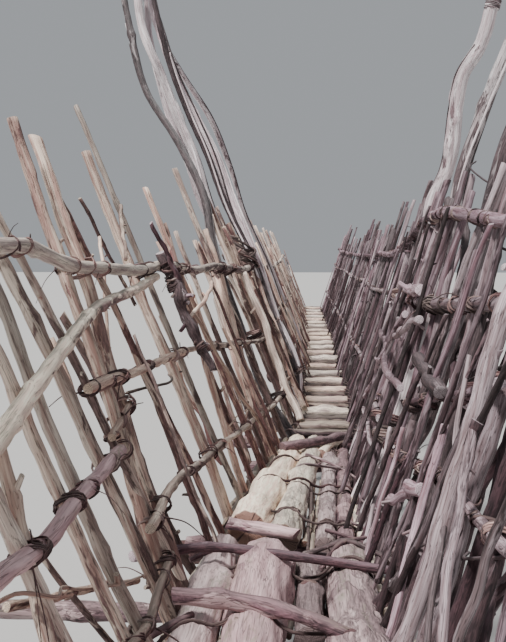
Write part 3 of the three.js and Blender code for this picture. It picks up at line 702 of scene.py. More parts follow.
def wrap(pile, centre, axis, radius, width, vine_r, turns, seed, tone):
    """Turns of vine side by side round one stick."""
    axis = unit(axis)
    side = unit(np.cross(axis, (0, 0, 1)))
    reach = radius + vine_r * 0.7
    loops(pile, centre, side, np.cross(side, axis), reach, reach, vine_r, turns, axis * width, seed, 14,
          tone=tone, full=2.1)


# The fences
PLACED_STAKES = {LEFT: [NEAR_LEFT_STAKES, SECOND_LEFT_STAKES], RIGHT: [NEAR_RIGHT_STAKES]}
PLACED_RAILS = {LEFT: [NEAR_LEFT_RAILS, SECOND_LEFT_RAILS], RIGHT: [NEAR_RIGHT_RAILS]}
TOP_RANGE = {LEFT: (980, 1290), RIGHT: (1030, 1330)}
# The part has no stake this near the middle yoke, which would be in its way
YOKE_SPACE = 34
# A rail's direction is taken between places this far before and after a stake
RAIL_SIGHT = 60
# A rail is lashed this far past its end and this far under a stake's top
RAIL_OVERRUN, TOP_ROOM = 20, 10
# A stake whose foot ends this far above the bearer's centre is still tied to it
FOOT_ROOM = 10


def stake_row(side, panel, start, end):
    """A panel's stakes: traced ones near the camera, made up ones further on."""
    if panel <= len(PLACED_STAKES[side]):
        return PLACED_STAKES[side][panel - 1]
    roll = chance(1000 + panel * 17 + (0 if side == LEFT else 500))
    spacing = STAKE_SPACING[side] * (1.5 if start > 4 * BAY - 1 else 1)
    count = nearest((end - start) / spacing)
    row = []
    for i in range(count):
        y = start + ((i + 0.5) * (end - start)) / count + roll(-40, 40)
        slant = roll(-95, 95)
        top = roll(*TOP_RANGE[side])
        foot = roll(-205, -160)
        row.append((y, foot, y + slant, top, roll(12, 20)))
    return row


def rail_row(side, panel, start, end):
    if panel <= len(PLACED_RAILS[side]):
        return PLACED_RAILS[side][panel - 1]
    roll = chance(2000 + panel * 29 + (0 if side == LEFT else 700))
    rows = []
    for height in (MID_RAIL_HEIGHT[side], LOW_RAIL_HEIGHT[side]):
        rows.append(((RAIL_R, RAIL_R), [(y, height + roll(-16, 16)) for y in stations(start, end)]))
    return rows


def hand_rail_points(side):
    near = LEFT_HAND_RAIL if side == LEFT else RIGHT_HAND_RAIL
    roll = chance(71 + side)
    return near + [(y, HAND_RAIL_HEIGHT[side] + roll(-14, 14)) for y in stations(2 * BAY + FAR_STEP, LENGTH)]


def straight_at(points, y):
    return float(np.interp(y, *zip(*points)))


def stake_at(stake, height):
    """Where along the bridge a straight stake passes a height."""
    y0, h0, y1, h1, _ = stake
    return y0 + (y1 - y0) * ((height - h0) / (h1 - h0))


def crossing(stake, height_at, first, last):
    """Where a stake meets a rail, or None where the rail doesn't reach it."""
    height = height_at(0.5 * (stake[0] + stake[2]))
    for _ in range(8):
        y = stake_at(stake, height)
        height = height_at(min(max(y, first), last))
    y = stake_at(stake, height)
    if first - RAIL_OVERRUN <= y <= last + RAIL_OVERRUN and height < stake[3] - TOP_ROOM:
        return y, height
    return None


def inside_fence(side, path, radii, bite):
    """A pole's centre line against the stakes' inner faces, from (along, height) places."""
    shares = np.linspace(0, 1, len(path))
    return [on_fence(side, y, h, -STAKE_FACE - share(radii, t) + bite) for (y, h), t in zip(path, shares)]


def fence_rails(side, panel, rails, start, end, rng, sticks, sides, step):
    """A panel's rails. The left's first one is a piece of its own in the mauve-grey log wood, which paints
    the cool cast of shade on it.
    """
    for k, (radii, path) in enumerate(rails):
        spots = sorted(set([p[0] for p in path] + stations(path[0][0], path[-1][0])))
        spots = [y for y in spots if start - 1 <= y <= end + 1] or spots
        points = inside_fence(side, [(y, between(path, y)) for y in spots], radii, RAIL_BITE)
        shade_tinted = side == LEFT and panel == 1 and k == 0
        pile = Pile() if shade_tinted else sticks
        stick(pile, points, radii, panel * 1000 + k * 13 + side, sides, step, wander=2.5, lump=0.09,
              knots=len(spots), tone=rng.uniform(0.4, 0.8) + 0.3 * shade_tinted,
              bark=(rng.uniform(0.1, 0.5), rng.uniform(0.3, 0.8)))
        if shade_tinted:
            pile.piece("left_low_rail", "log", "log_wood")


def fence(word, side, panel, first, last):
    """One panel of stakes and rails, and the lashings where they cross."""
    start, end = first * BAY + GAP, last * BAY - GAP
    detail = max(1, 4 - panel)
    sides, step = {3: (14, 22), 2: (11, 34), 1: (8, 70)}[detail]
    sticks, bindings = Pile(), Pile()
    rails = rail_row(side, panel, start, end)
    rng = random.Random(panel * 31 + side)
    fence_rails(side, panel, rails, start, end, rng, sticks, sides, step)
    hand = hand_rail_points(side)
    normal = on_fence(side, start, 500, 100) - on_fence(side, start, 500, 0)
    meets = [(lambda y, p=path: between(p, y), path[0][0], path[-1][0], radii[0]) for radii, path in rails]
    meets.append((lambda y: straight_at(hand, y), 0, LENGTH, HAND_RAIL_R))
    for i, stake in enumerate(stake_row(side, panel, start, end)):
        y0, h0, y1, h1, radius = stake
        if abs(y0 - 3 * BAY) < YOKE_SPACE:
            continue
        out = radius - STAKE_FACE
        seed = panel * 5000 + i * 17 + side * 3
        # Darker tones on the right fence: painted shade over that side.
        tone = rng.uniform(0.3 if detail > 1 else 0.5, 1.0) if side == LEFT else rng.uniform(0.0, 0.75)
        foot, top = on_fence(side, y0, h0, out), on_fence(side, y1, h1, out)
        stick(sticks, [foot, top], (radius, radius * 0.8), seed, sides, step,
              wander=radius * (0.3 if detail == 3 else 0.22), lump=0.09, knots=rng.randint(3, 7), tone=tone,
              bark=(rng.uniform(0.3, 1.0), rng.uniform(0.1, 0.8), rng.uniform(0.0, 0.6)), slant=0.7,
              stubs=rng.randint(0, 3) if detail > 1 else 0)
        stake_way = on_fence(side, y1, h1) - on_fence(side, y0, h0)
        for k, (height_at, low, high, rail_r) in enumerate(meets):
            met = crossing(stake, height_at, low, high)
            if not met:
                continue
            y, height = met
            bite = RAIL_BITE if rail_r != HAND_RAIL_R else PRESS
            centre = on_fence(side, y, height, radius - STAKE_FACE - rail_r + bite / 2)
            before, after = y - RAIL_SIGHT, y + RAIL_SIGHT
            rail_way = (on_fence(side, after, height_at(min(after, high)))
                        - on_fence(side, before, height_at(max(before, low))))
            lash(bindings, centre, stake_way, rail_way, normal, radius, rail_r, seed + k * 101, detail)
        foot = stake_at(stake, -between(BEARER_DEPTH, y0))
        height = -between(BEARER_DEPTH, foot)
        if h0 < height + FOOT_ROOM:
            centre = on_fence(side, foot, height, (2 * radius - STAKE_FACE) / 2 - BEARER_R)
            lash(bindings, centre, stake_way, (0, 1, 0), (1, 0, 0), radius, BEARER_R - 1, seed + 907,
                 min(detail, 2))
    sticks.piece(f"{word}_stakes_{panel}", FENCE_WOOD[side], FENCE_SLOT[word], f"{word}_fence_{panel}")
    bindings.piece(f"{word}_lashings_{panel}", "vine", "liana")


# The deck
def bearer_point(side, y):
    foot = FENCE_FOOT - between(BEARER_DEPTH, y) * math.tan(LEAN[side])
    x = deck_centre(y) + side * (deck_half(y) + foot - STAKE_FACE - BEARER_R + PRESS)
    return (x, y, bearer_level(y))


def build_bearers():
    for k, (word, side) in enumerate(SIDES.items()):
        path = [bearer_point(side, y) for y in stations(0, LENGTH)]
        lone_stick(f"bearer_pole_{word}", "bearer", "bearer_wood", f"{word}_bearer", path,
                   (BEARER_R, BEARER_R), 40 + k, 14, 45, flute=0.03, knots=40, bark=(0.9, 0.6, 0.8, 0.5, 0.9))


def build_cross_sticks():
    for bay in range(1, 6):
        y = bay * BAY
        middle = deck_centre(y)
        level = bearer_level(y) - BEARER_R * OCTAGON - YOKE_R + PRESS
        reach = deck_half(y) + YOKE_REACH
        lone_stick(f"yoke_log_{bay}", "bearer", "bearer_wood", f"yoke_{bay}",
                   [(x, y, level) for x in (middle - reach, middle, middle + reach)], (YOKE_R, YOKE_R - 3),
                   60 + bay, 16, 30, lump=0.07, flute=0.03, knots=5, bark=(0.7, 0.4, 0.8), slant=0.5)
    for i, (y, low, high) in enumerate(JOISTS):
        lone_stick(f"joist_log_{i + 1}", "log", "bearer_wood", f"joist_{i + 1}",
                   [(x, y, joist_level(y)) for x in (low, (low + high) / 2, high)], (JOIST_R, JOIST_R - 2),
                   70 + i, 16, 24, lump=0.07, flute=0.03, knots=5, bark=(0.5, 0.7, 0.4), slant=0.5)


def log_path(log, bed):
    xs, ys, radii = log
    path = []
    for t in (0, 0.25, 0.5, 0.75, 1):
        y = share(ys, t)
        path.append((share(xs, t), y, deck_level(y) - bed + share(radii, t)))
    return path


def log_at(log, y):
    """Where across a log lies at a place along the deck, and its radius there."""
    xs, ys, radii = log
    t = (y - ys[0]) / (ys[1] - ys[0])
    return share(xs, t), share(radii, t)


# Tone and bark of each log, in the order of the tables of sizes
NEAR_LOG_LOOKS = [(0.95, (0.1, 0.3, 0.2)), (0.7, (0.3, 0.2, 0.4)), (0.4, (0.7, 0.5)), (0.5, (0.5, 0.6)),
                  (0.6, (0.3, 0.6, 0.4))]
SECOND_LOG_LOOKS = [(1.0, (0.1, 0.3, 0.1)), (0.5, (0.6, 0.5, 0.2)), (0.55, (0.5, 0.4)), (0.45, (0.5, 0.6))]


def build_logs():
    for k, (name, log) in enumerate(NEAR_LOGS.items()):
        tone, bark = NEAR_LOG_LOOKS[k]
        lone_stick(f"{name}_round", "log", "log_wood", name, log_path(log, NEAR_LOG_BED), log[2], 90 + k * 3,
                   56, 12, lump=0.035, flute=0.045, knots=7, tone=tone, bark=bark, slant=0.35, up=(0, 0, 1))
    for k, (name, log) in enumerate(SECOND_LOGS.items()):
        tone, bark = SECOND_LOG_LOOKS[k]
        lone_stick(f"{name}_round", "pole" if k < 2 else "log", "slat_wood", name,
                   log_path(log, SECOND_LOG_BED), log[2], 120 + k * 3, 44, 14, lump=0.05, flute=0.05, knots=9,
                   tone=tone, bark=bark, slant=0.4, up=(0, 0, 1))
    for k, (name, (places, radii, line, tone, bark)) in enumerate(CROSS_POLES.items()):
        low_x, low_r = log_at(NEAR_LOGS["deck_log_middle"], line)
        high_x, high_r = log_at(NEAR_LOGS["deck_log_right"], line)
        low_top = 2 * low_r - NEAR_LOG_BED
        slope = (2 * high_r - NEAR_LOG_BED - low_top) / (high_x - low_x)
        path = []
        for i, (x, y) in enumerate(places):
            level = deck_level(y) + low_top + slope * (x - low_x) - PRESS
            path.append((x, y, level + share(radii, i / (len(places) - 1))))
        lone_stick(f"{name}_stick", ("shade", "log")[k], "bearer_wood", name, path, radii, 150 + k, 18, 12,
                   lump=0.09, knots=6, tone=tone, bark=bark, slant=0.6)


# Sides and step of the sticks in each run of slats
SLAT_DETAIL = [(14, 16), (10, 30), (8, 45)]
# How far below the deck's level the pole under the slats runs
RUNNER_DEPTH = 52
# Up to this place of the first run the rungs are dark
DARK_RUNGS = 3
# The last stick in a gap stays this far from its run's end
GAP_ROOM = 15


def slat(pile, ends, half, seed, detail, rng):
    """Two dark slats side by side."""
    for part, (shift, radius) in enumerate(((-half * 0.48, half * 0.5), (half * 0.5, half * 0.46))):
        row = [(x, y + shift, z + rng.uniform(-3, 1)) for x, y, z in ends]
        stick(pile, row, (radius * rng.uniform(0.85, 1.05), radius * rng.uniform(0.85, 1.05)),
              seed + part * 7000, *detail, lump=0.07, knots=3, tone=rng.uniform(0.0, 0.5),
              bark=rng.uniform(0.6, 1.2), slant=0.6, wander=2.5)


def gap_sticks(pile, y, pitch, end, seed, sides, step, rng):
    """Two thin dark sticks in the gap after a slat, toned near black to paint the shade in the gaps."""
    for extra in range(2):
        radius = rng.uniform(9, 14)
        at = y + pitch * (0.36 + 0.24 * extra) + rng.uniform(-6, 6)
        if at > end - GAP_ROOM:
            continue
        tilt = rng.uniform(-18, 18)
        row = [(deck_centre(at) + side * (deck_half(at) + rng.uniform(-30, -6)), at + side * tilt,
                deck_level(at) - SLAT_BED + radius + rng.uniform(-4, 0)) for side in (LEFT, RIGHT)]
        stick(pile, row, (radius, radius * 0.8), seed + extra, max(6, sides - 3), step, lump=0.08, knots=3,
              tone=rng.uniform(0.0, 0.15), bark=rng.uniform(1.0, 1.4), slant=0.6, wander=3)


def build_slats():
    long = (LENGTH - SLAT_START) / SLAT_DECKS
    for index in range(SLAT_DECKS):
        start = SLAT_START + index * long + GAP
        end = SLAT_START + (index + 1) * long - GAP
        roll = chance(300 + index)
        rng = random.Random(500 + index)
        pile = Pile()
        runner = [(deck_centre(y), y, deck_level(y) - RUNNER_DEPTH) for y in stations(start, end)]
        stick(pile, runner, (18, 18), 510 + index, 8, 60, lump=0.08, tone=0.4, bark=0.8)
        count = nearest((end - start) / SLAT_PITCH)
        pitch = (end - start) / count
        sides, step = SLAT_DETAIL[index]
        for i in range(count):
            y = start + ((i + 0.5) * (end - start)) / count
            skew = roll(-14, 14)
            rung = i % RUNG_EVERY == 1
            width = (RUNG_WIDE if rung else SLAT_WIDE) + roll(-9, 9)
            thick = RUNG_THICK if rung else SLAT_THICK
            half = width / 2
            ends = [(deck_centre(y) + side * (deck_half(y) + roll(-22, -4)), y + side * skew,
                     deck_level(y) - SLAT_BED + thick / 2) for side in (LEFT, RIGHT)]
            if rung:
                stick(pile, ends, (half * 0.98, half * 0.9), 600 + index * 100 + i, sides + 2, step,
                      lump=0.05, flute=0.03, knots=3,
                      tone=rng.uniform(0.75, 1.0) if i > DARK_RUNGS or index else 0.2,
                      bark=rng.uniform(0.0, 0.3), up=(0, 0, 1), flat=thick / width, slant=0.5, wander=2)
            else:
                slat(pile, ends, half, 610 + index * 100 + i * 2, (sides, step), rng)
            gap_sticks(pile, y, pitch, end, 5000 + index * 300 + i * 2, sides, step, rng)
        pile.piece(f"slat_run_{index + 1}", "slat", "slat_wood", f"slat_deck_{index + 1}")


def crib_logs(outer, inward):
    """Two sills, two cheeks and a header: name, the end points across, along and up, radius."""
    cheek_level = SILL_CENTRE + SILL_R - PRESS + CHEEK_R
    header_foot = cheek_level + CHEEK_R - PRESS
    header = outer + inward * HEADER_STEP
    header_r = (bearer_level(header) - BEARER_R + PRESS - header_foot) / 2
    near, far = (outer + inward * y for y in CHEEK_ENDS)
    for k, y in enumerate((outer, outer + inward * SILL_STEP)):
        yield f"sill_{k + 1}", (-CRIB_REACH, CRIB_REACH), (y, y), SILL_CENTRE, SILL_R
    for k, side in enumerate((LEFT, RIGHT)):
        x = side * CHEEK_SPREAD
        yield f"cheek_{k + 1}", (x, x), (near, far), cheek_level, CHEEK_R
    yield "header", (-HEADER_REACH, HEADER_REACH), (header, header), header_foot + header_r, header_r


def build_cribs():
    for seed, end, outer, inward in ((200, "near", 0.0, 1), (260, "far", LENGTH, -1)):
        for k, (word, xs, ys, level, radius) in enumerate(crib_logs(outer, inward)):
            path = [(deck_centre(outer) + x, y, level) for x, y in zip(xs, ys)]
            lone_stick(f"{end}_{word}_log", "crib", "crib_wood", f"{end}_{word}", path,
                       (radius, radius * 0.96), seed + k * 5, 40, 26, lump=0.03, flute=0.03, knots=5,
                       bark=(0.9, 0.6, 0.9), slant=0.2)


# Hand rails and the diagonal pole
def build_rails():
    for k, (word, side) in enumerate(SIDES.items()):
        radii = (HAND_RAIL_R, HAND_RAIL_R)
        lone_stick(f"hand_rail_pole_{word}", "rail" if side == LEFT else "shade", FENCE_SLOT[word],
                   f"{word}_hand_rail", inside_fence(side, hand_rail_points(side), radii, PRESS), radii,
                   230 + k, 16, 24, lump=0.09, knots=46, tone=0.6,
                   bark=(0.5, 0.1, 0.7, 0.2, 0.8, 0.4, 0.6, 0.2, 0.7))
    radii, path = LEFT_BRACE
    lone_stick("diagonal_pole", "pole", "stake_wood", "left_brace_pole",
               inside_fence(LEFT, path, radii, PRESS), radii, 240, 24, 14, lump=0.07, flute=0.02, knots=14,
               tone=0.95, bark=(0.0, 0.2, 0.4, 0.6, 0.7, 0.5, 0.3), slant=0.6)


# The stays, each a liana with thinner ones twined round it
STRAND_STEP = 22


def twine(pile, curve, across, third, size, seed, rng):
    """Two thin lianas, one dark and one pale, wound slowly round a stay."""
    for strand, (tone, bark) in enumerate(((0.15, 0.9), (1.0, 0.1))):
        first = int(len(curve) * rng.uniform(0.02, 0.3))
        last = int(len(curve) * rng.uniform(0.8, 1.0))
        turn = np.arange(len(curve)) * STRAND_STEP / rng.uniform(3000, 6500) * math.tau
        turn = turn + rng.uniform(0, ROUND)
        thin = rng.uniform(4.5, 7.5)
        away = (size + thin * 0.6)[:, None]
        line = curve + across * np.cos(turn)[:, None] * away + third * np.sin(turn)[:, None] * away
        stick(pile, line[first:last], (thin, thin * 0.7), seed + strand, 8, 20, lump=0.1, tone=tone,
              bark=bark)


# How far inward of the stakes' plane a rail's and a hand rail's centre lie
RAIL_OUT, HAND_RAIL_OUT = -20, -30


def tie_stay(bindings, side, low, radius, seed, rng):
    """Crossed vine turns where a stay passes the low rail, the middle rail and the hand rail."""
    alongs, heights, outs = zip(*low)
    hand = hand_rail_points(side)
    for m, rail_height in enumerate((LOW_RAIL_HEIGHT[side], MID_RAIL_HEIGHT[side], None)):
        y = np.interp(rail_height or 500, heights, alongs)
        height = rail_height or straight_at(hand, y)
        if height > heights[-1]:
            continue
        out = np.interp(height, heights, outs)
        rail_out = RAIL_OUT if rail_height else HAND_RAIL_OUT
        centre = on_fence(side, y, height, (out + rail_out) / 2)
        normal = unit(on_fence(side, y, height, 50) - on_fence(side, y, height))
        rise = unit(on_fence(side, y, height + 50) - on_fence(side, y, height))
        half = abs(out - rail_out) / 2 + radius
        for n, tilt in enumerate((0.5, -0.5)):
            wide = unit(np.array([0, 1, 0]) + rise * tilt)
            loops(bindings, centre, wide, normal, radius + 7, half + 4, 4.5, 2.5,
                  unit(np.cross(wide, normal)) * 24, seed + m * 3 + n, 18, 6, rng.random())


def knot_stays(bindings):
    """The knot of vine that gathers the left stays just above the fence."""
    rng = random.Random(470)
    x, y, height = -386, 4626, 895
    for n in range(10):
        wide = unit((1, rng.uniform(-0.3, 0.3), rng.uniform(-0.6, 0.15)))
        deep = unit((0, 1, rng.uniform(-0.4, 0.4)))
        loops(bindings, (x - n * 4, y, deck_level(y) + height + n * 10), wide, deep,
              rng.uniform(106, 120), rng.uniform(96, 110), rng.uniform(4, 9), rng.uniform(1.1, 1.9),
              (-8, rng.uniform(-12, 12), 24), 471 + n, 20, 7, rng.uniform(0.05, 0.5), full=2.1)


def build_stays():
    bindings = Pile()
    for k, (name, (side, radii, tone, bark, low, high)) in enumerate(STAYS.items()):
        rng = random.Random(300 + k)
        path = [on_fence(side, *place) for place in low] + [(x, y, deck_level(y) + h) for x, y, h in high]
        pile = Pile()
        stick(pile, path, radii, 310 + k, 22, 20, lump=0.045, flute=0.03, knots=9, tone=tone,
              bark=(bark, bark * 0.5, bark, bark * 0.7), slant=0.3)
        length = sum(math.dist(a, b) for a, b in zip(path, path[1:]))
        curve, place = spline(path, int(length / STRAND_STEP))
        ahead, across, third = frames_along(curve)
        twine(pile, curve, across, third, np.interp(place, [0, len(path) - 1], radii), 330 + k * 4, rng)
        x, y, z = path[-1]
        ring = radii[1] * 0.86
        eye = [(x + EYE_R * math.sin(t), y + 3 * math.sin(t), z + EYE_R - PRESS - EYE_R * math.cos(t))
               for t in np.linspace(-0.25, math.tau + 0.25, 40)]
        stick(pile, eye, (ring * 0.9, ring * 0.9), 350 + k, 14, 9, lump=0.07, tone=tone, bark=bark,
              straight=True)
        wrap(pile, curve[-3], ahead[-3], radii[1], 44, 3.6, 6, 360 + k, 0.9)
        pile.piece(name.replace("stay", "liana"), "liana", "liana", name)
        tie_stay(bindings, side, low, radii[0], 400 + k * 9, rng)
    knot_stays(bindings)
    bindings.piece("stay_lashings", "vine", "liana")


# Vines that bind the deck together
LOG_TIES = ((NEAR_LOGS, NEAR_LOG_BED, (560, 1400)), (SECOND_LOGS, SECOND_LOG_BED, (1930, 3180)))


def tie_logs(pile):
    """Crossed turns that hold each log to the joist below it."""
    seed = 700
    for table, bed, spots in LOG_TIES:
        for log in table.values():
            for spot in spots:
                if not log[1][0] < spot < log[1][1]:
                    continue
                x, radius = log_at(log, spot)
                top = deck_level(spot) - bed + 2 * radius
                under = joist_level(spot) - JOIST_R
                for tilt in (0.35, -0.35):
                    seed += 1
                    loops(pile, (x, spot, (top + under) / 2), unit((1, tilt, 0)), (0, 0, 1), radius + 5,
                          (top - under) / 2 + 4, 4.4, 2, (0, 16, 0), seed, 22, 6, 0.2 + 0.5 * (seed % 5) / 5,
                          full=2.2)


# The edge vine's turns: half their size across and up, how far below the deck's level they lie
TURN_WIDE, TURN_TALL, TURN_DEPTH = 44, 66, 62
EDGE_ROOM = 20


def wind_edges(pile):
    """A vine wound along each edge of the slats, with wider turns further on."""
    for side in (LEFT, RIGHT):
        rng = random.Random(800 + side)
        for first, last, steps, pitch in ((SLAT_START, EDGE_BREAK, 12, 155.0),
                                          (EDGE_BREAK, LENGTH, 8, 310.0)):
            path = []
            y = first + EDGE_ROOM
            turn = 0.0
            while y < last - EDGE_ROOM:
                x = deck_centre(y) + side * (deck_half(y) + 2)
                z = deck_level(y) - TURN_DEPTH + TURN_TALL * math.sin(turn) + rng.uniform(-2, 2)
                path.append((x + TURN_WIDE * math.cos(turn), y, z))
                turn += math.tau / steps
                y += pitch / steps
            stick(pile, path, (4.5, 4.5), 810 + side + int(first), 5, pitch / steps * 1.5, lump=0.1, bark=0.7,
                  straight=True)


def build_deck_bindings():
    pile = Pile()
    tie_logs(pile)
    wind_edges(pile)
    pile.piece("deck_vines", "vine", "liana")


# Loose and woven sticks, too small and too many for the frame
# Right side, traced: along and height of both ends, radius at each end, out, tone, bark
RIGHT_PICKS = [
    ((790, 900), (728, -130), (19, 18), -66, 0.95, 0.0),
    ((1500, 760), (1395, -150), (24, 27), 58, 0.35, 0.8),
    ((1075, 420), (905, -120), (10, 9), -60, 0.9, 0.1),
    ((740, 480), (906, -120), (12, 10), -60, 0.5, 0.6),
    ((800, 520), (420, 120), (11, 9), -72, 0.6, 0.5),
    ((1790, 300), (1610, -60), (7, 6), -45, 1.0, 0.0),
    ((1600, 330), (1545, -70), (7, 6), -50, 1.0, 0.1),
    ((3040, 180), (2015, 206), (8, 7), -48, 0.9, 0.2),
    ((2900, 690), (3900, 60), (13, 10), -56, 0.7, 0.3),
    ((2150, 640), (3050, 200), (12, 10), -66, 0.6, 0.4),
    ((1905, 718), (2400, 730), (18, 14), -62, 1.0, 0.0),
    ((1815, 640), (2250, 560), (14, 11), -58, 0.9, 0.1),
    ((1060, 272), (1420, 150), (16, 12), -70, 0.95, 0.1),
    ((3303, 1152), (2103, 604), (24, 22), 66, 0.45, 0.7),
    ((3205, 515), (1751, 422), (14, 12), -64, 0.5, 0.6),
    ((1097, 158), (1128, -110), (17, 15), -58, 0.4, 0.7),
    ((2210, 1010), (1640, 560), (13, 12), 48, 0.3, 0.9),
    ((2830, 500), (1330, 455), (10, 9), 44, 0.5, 0.5),
    ((1590, 520), (1240, 470), (20, 17), -68, 0.4, 0.9),
]
# Left side, traced
LEFT_PICKS = [
    ((1180, 640), (1150, -120), (8, 9), 34, 0.9, 0.1),
    ((1950, 930), (1560, 560), (6, 5), 32, 0.8, 0.2),
    ((2060, 1010), (1830, 820), (7, 6), -48, 0.5, 0.7),
    ((1930, 1060), (2090, 700), (6, 6), 40, 0.4, 0.8),
    ((420, 240), (1100, 60), (9, 8), 42, 0.6, 0.5),
    ((3560, 980), (3860, -90), (9, 8), 60, 0.5, 0.6),
    ((4060, 700), (4620, 240), (10, 9), -60, 0.4, 0.8),
    ((3862, 785), (3722, 0), (18, 21), -52, 1.0, 0.1),
    ((4640, 790), (4150, 0), (14, 17), -52, 0.75, 0.5),
    ((2386, 607), (3060, 738), (9, 8), -60, 1.0, 0.1),
]


def fence_stick(pile, side, first, last, radii, out, seed, sides, step, **looks):
    """A stick in the plane of a fence, from one place (along, height) to another."""
    path = [on_fence(side, share((first[0], last[0]), t), share((first[1], last[1]), t), out)
            for t in (0, 0.35, 0.7, 1)]
    stick(pile, path, radii, seed, sides, step, **looks)


def build_picks():
    for word, picks in (("right", RIGHT_PICKS), ("left", LEFT_PICKS)):
        side = SIDES[word]
        pile = Pile()
        for k, (first, last, radii, out, tone, bark) in enumerate(picks):
            fence_stick(pile, side, first, last, radii, out, 1500 + k * 7 + side, 14, 18,
                        wander=radii[0] * 0.35, lump=0.09, flute=0.02, knots=5, tone=tone,
                        bark=(bark, bark * 0.7), slant=0.6, stubs=2)
        pile.piece(f"{word}_loose_sticks", FENCE_WOOD[side], FENCE_SLOT[word])


def build_knotty_stick():
    """A dark gnarled stick on the left fence's inner face, a thin forked one, and their loose ties."""
    sticks, ties = Pile(), Pile()
    high, low, out = (2318, 852), (2340, 400), -70
    fence_stick(sticks, LEFT, high, low, (19, 22, 17, 15, 13), out, 1690, 18, 12, wander=7, lump=0.17,
                flute=0.05, knots=14, tone=0.85, bark=(0.9, 0.5, 0.7), slant=0.9, stubs=5)
    fence_stick(sticks, LEFT, (2222, 945), (2318, 735), (8, 10), -98, 1691, 12, 14, wander=3, lump=0.1,
                knots=4, tone=1.0, slant=0.8, stubs=1)
    top, foot = on_fence(LEFT, *high, out), on_fence(LEFT, *low, out)
    way = unit(foot - top)
    wide = unit(np.cross(way, (0, 1, 0)))
    rng = random.Random(1692)
    for n in range(11):
        t, size = (rng.uniform(0.04, 0.4), 26) if n < 8 else (rng.uniform(0.76, 0.82), 19)
        size += rng.uniform(-1, 4)
        loops(ties, top + (foot - top) * t, unit(wide + way * rng.uniform(-0.6, 0.6)),
              unit(np.cross(way, wide) + way * rng.uniform(-0.5, 0.5)), size, size, rng.uniform(2.5, 5.5),
              rng.uniform(1.1, 2.4), way * rng.uniform(6, 36), 1700 + n, tone=rng.uniform(0.1, 0.8), full=2.0)
    sticks.piece("left_knotty_stick", "shade", "stake_wood")
    ties.piece("left_stick_ties", "vine", "liana")


# How far inside its run an extra upright's foot and head stay
FOOT_INSET, HEAD_INSET = 30, 20


def thicket(pile, side, start, end, count, seed, detail):
    """Extra uprights leaning against the stakes' outer faces, thinner ones inside."""
    rng = random.Random(seed)
    sides, step = {3: (11, 24), 2: (8, 40), 1: (6, 90)}[detail]
    for i in range(count):
        inside = rng.random() < 0.3
        radius = rng.choice((6, 7, 9, 10, 12, 14, 17)) * rng.uniform(0.85, 1.15)
        if inside:
            radius = min(radius, 9)
        out = -rng.uniform(52, 60) - radius if inside else 22 + radius + rng.uniform(0, 26)
        y = rng.uniform(start + FOOT_INSET, end - FOOT_INSET)
        foot = rng.uniform(-150, 120)
        head = rng.uniform(0.45, 1.0) * THICKET_TOP[side]
        slant = rng.gauss(0, 190) if rng.random() < 0.75 else rng.choice((-1, 1)) * rng.uniform(300, 650)
        last = min(max(y + slant, start + HEAD_INSET), end - HEAD_INSET)
        knots = rng.randint(1, 5)
        # Most uprights on the right get darker tones: painted shade over that fence.
        tones = (0.3, 1.0) if side == LEFT or rng.random() < 0.18 else (0.0, 0.55)
        fence_stick(pile, side, (y, foot), (last, head), (radius, radius * 0.75), out, seed * 50 + i, sides,
                    step, wander=radius * 0.5, lump=0.09, knots=knots, tone=rng.uniform(*tones),
                    bark=(rng.uniform(0.2, 1.0), rng.uniform(0.0, 1.0)), slant=0.7,
                    stubs=rng.randint(0, 2) if detail == 3 else 0)


def weave(pile, side, start, end, count, seed, detail):
    """Thin canes threaded in and out of the stakes."""
    rng = random.Random(seed)
    sides, step = (7, 22) if detail == 3 else (5, 50)
    for i in range(count):
        radius = rng.uniform(3.5, 6.5)
        y = rng.uniform(start, end - 700)
        height = rng.uniform(40, WEAVE_TOP[side])
        rise = rng.uniform(-0.35, 0.35)
        length = rng.uniform(600, 1300)
        points = []
        phase = rng.uniform(0, ROUND)
        for k in range(9):
            at = y + length * k / 8
            if at > end - 10:
                break
            bow = 26 * math.sin(math.pi * k / 2 + phase)
            level = height + rise * length * k / 8 + rng.uniform(-16, 16)
            points.append(on_fence(side, at, max(level, 0), bow + 4))
        if len(points) > 3:
            stick(pile, points, (radius, radius * 0.6), seed * 60 + i, sides, step, lump=0.1, knots=2,
                  tone=rng.uniform(0.1, 0.9), bark=rng.uniform(0.2, 1.0), slant=0.6)


# For each fence: first and last bay, uprights, canes, detail
THICKETS = {LEFT: ((0, 1, 5, 2, 3), (1, 2, 14, 3, 2), (2, 4, 26, 6, 1), (4, 6, 20, 4, 1)),
            RIGHT: ((0, 1, 34, 9, 3), (1, 2, 34, 9, 2), (2, 4, 48, 12, 1), (4, 6, 36, 6, 1))}
THICKET_TOP = {LEFT: 930, RIGHT: 1080}
WEAVE_TOP = {LEFT: 760, RIGHT: 1000}


def build_thickets():
    for word, side in SIDES.items():
        for k, (first, last, sticks, canes, detail) in enumerate(THICKETS[side]):
            pile = Pile()
            start, end = first * BAY + GAP, last * BAY - GAP
            thicket(pile, side, start, end, sticks, 1700 + k * 10 + side, detail)
            weave(pile, side, start, end, canes, 1800 + k * 10 + side, detail)
            pile.piece(f"{word}_thicket_{k + 1}", FENCE_WOOD[side], FENCE_SLOT[word])


# What lies across and beside the logs
def deck_top(x, y):
    """Height of the highest log under a place on the deck, or None over a gap."""
    best = None
    for table, bed in ((NEAR_LOGS, NEAR_LOG_BED), (SECOND_LOGS, SECOND_LOG_BED)):
        for log in table.values():
            if not log[1][0] <= y <= log[1][1]:
                continue
            middle, radius = log_at(log, y)
            away = abs(x - middle)
            if away < radius * 0.98:
                top = deck_level(y) - bed + radius + math.sqrt(radius * radius - away * away)
                best = top if best is None else max(best, top)
    return best


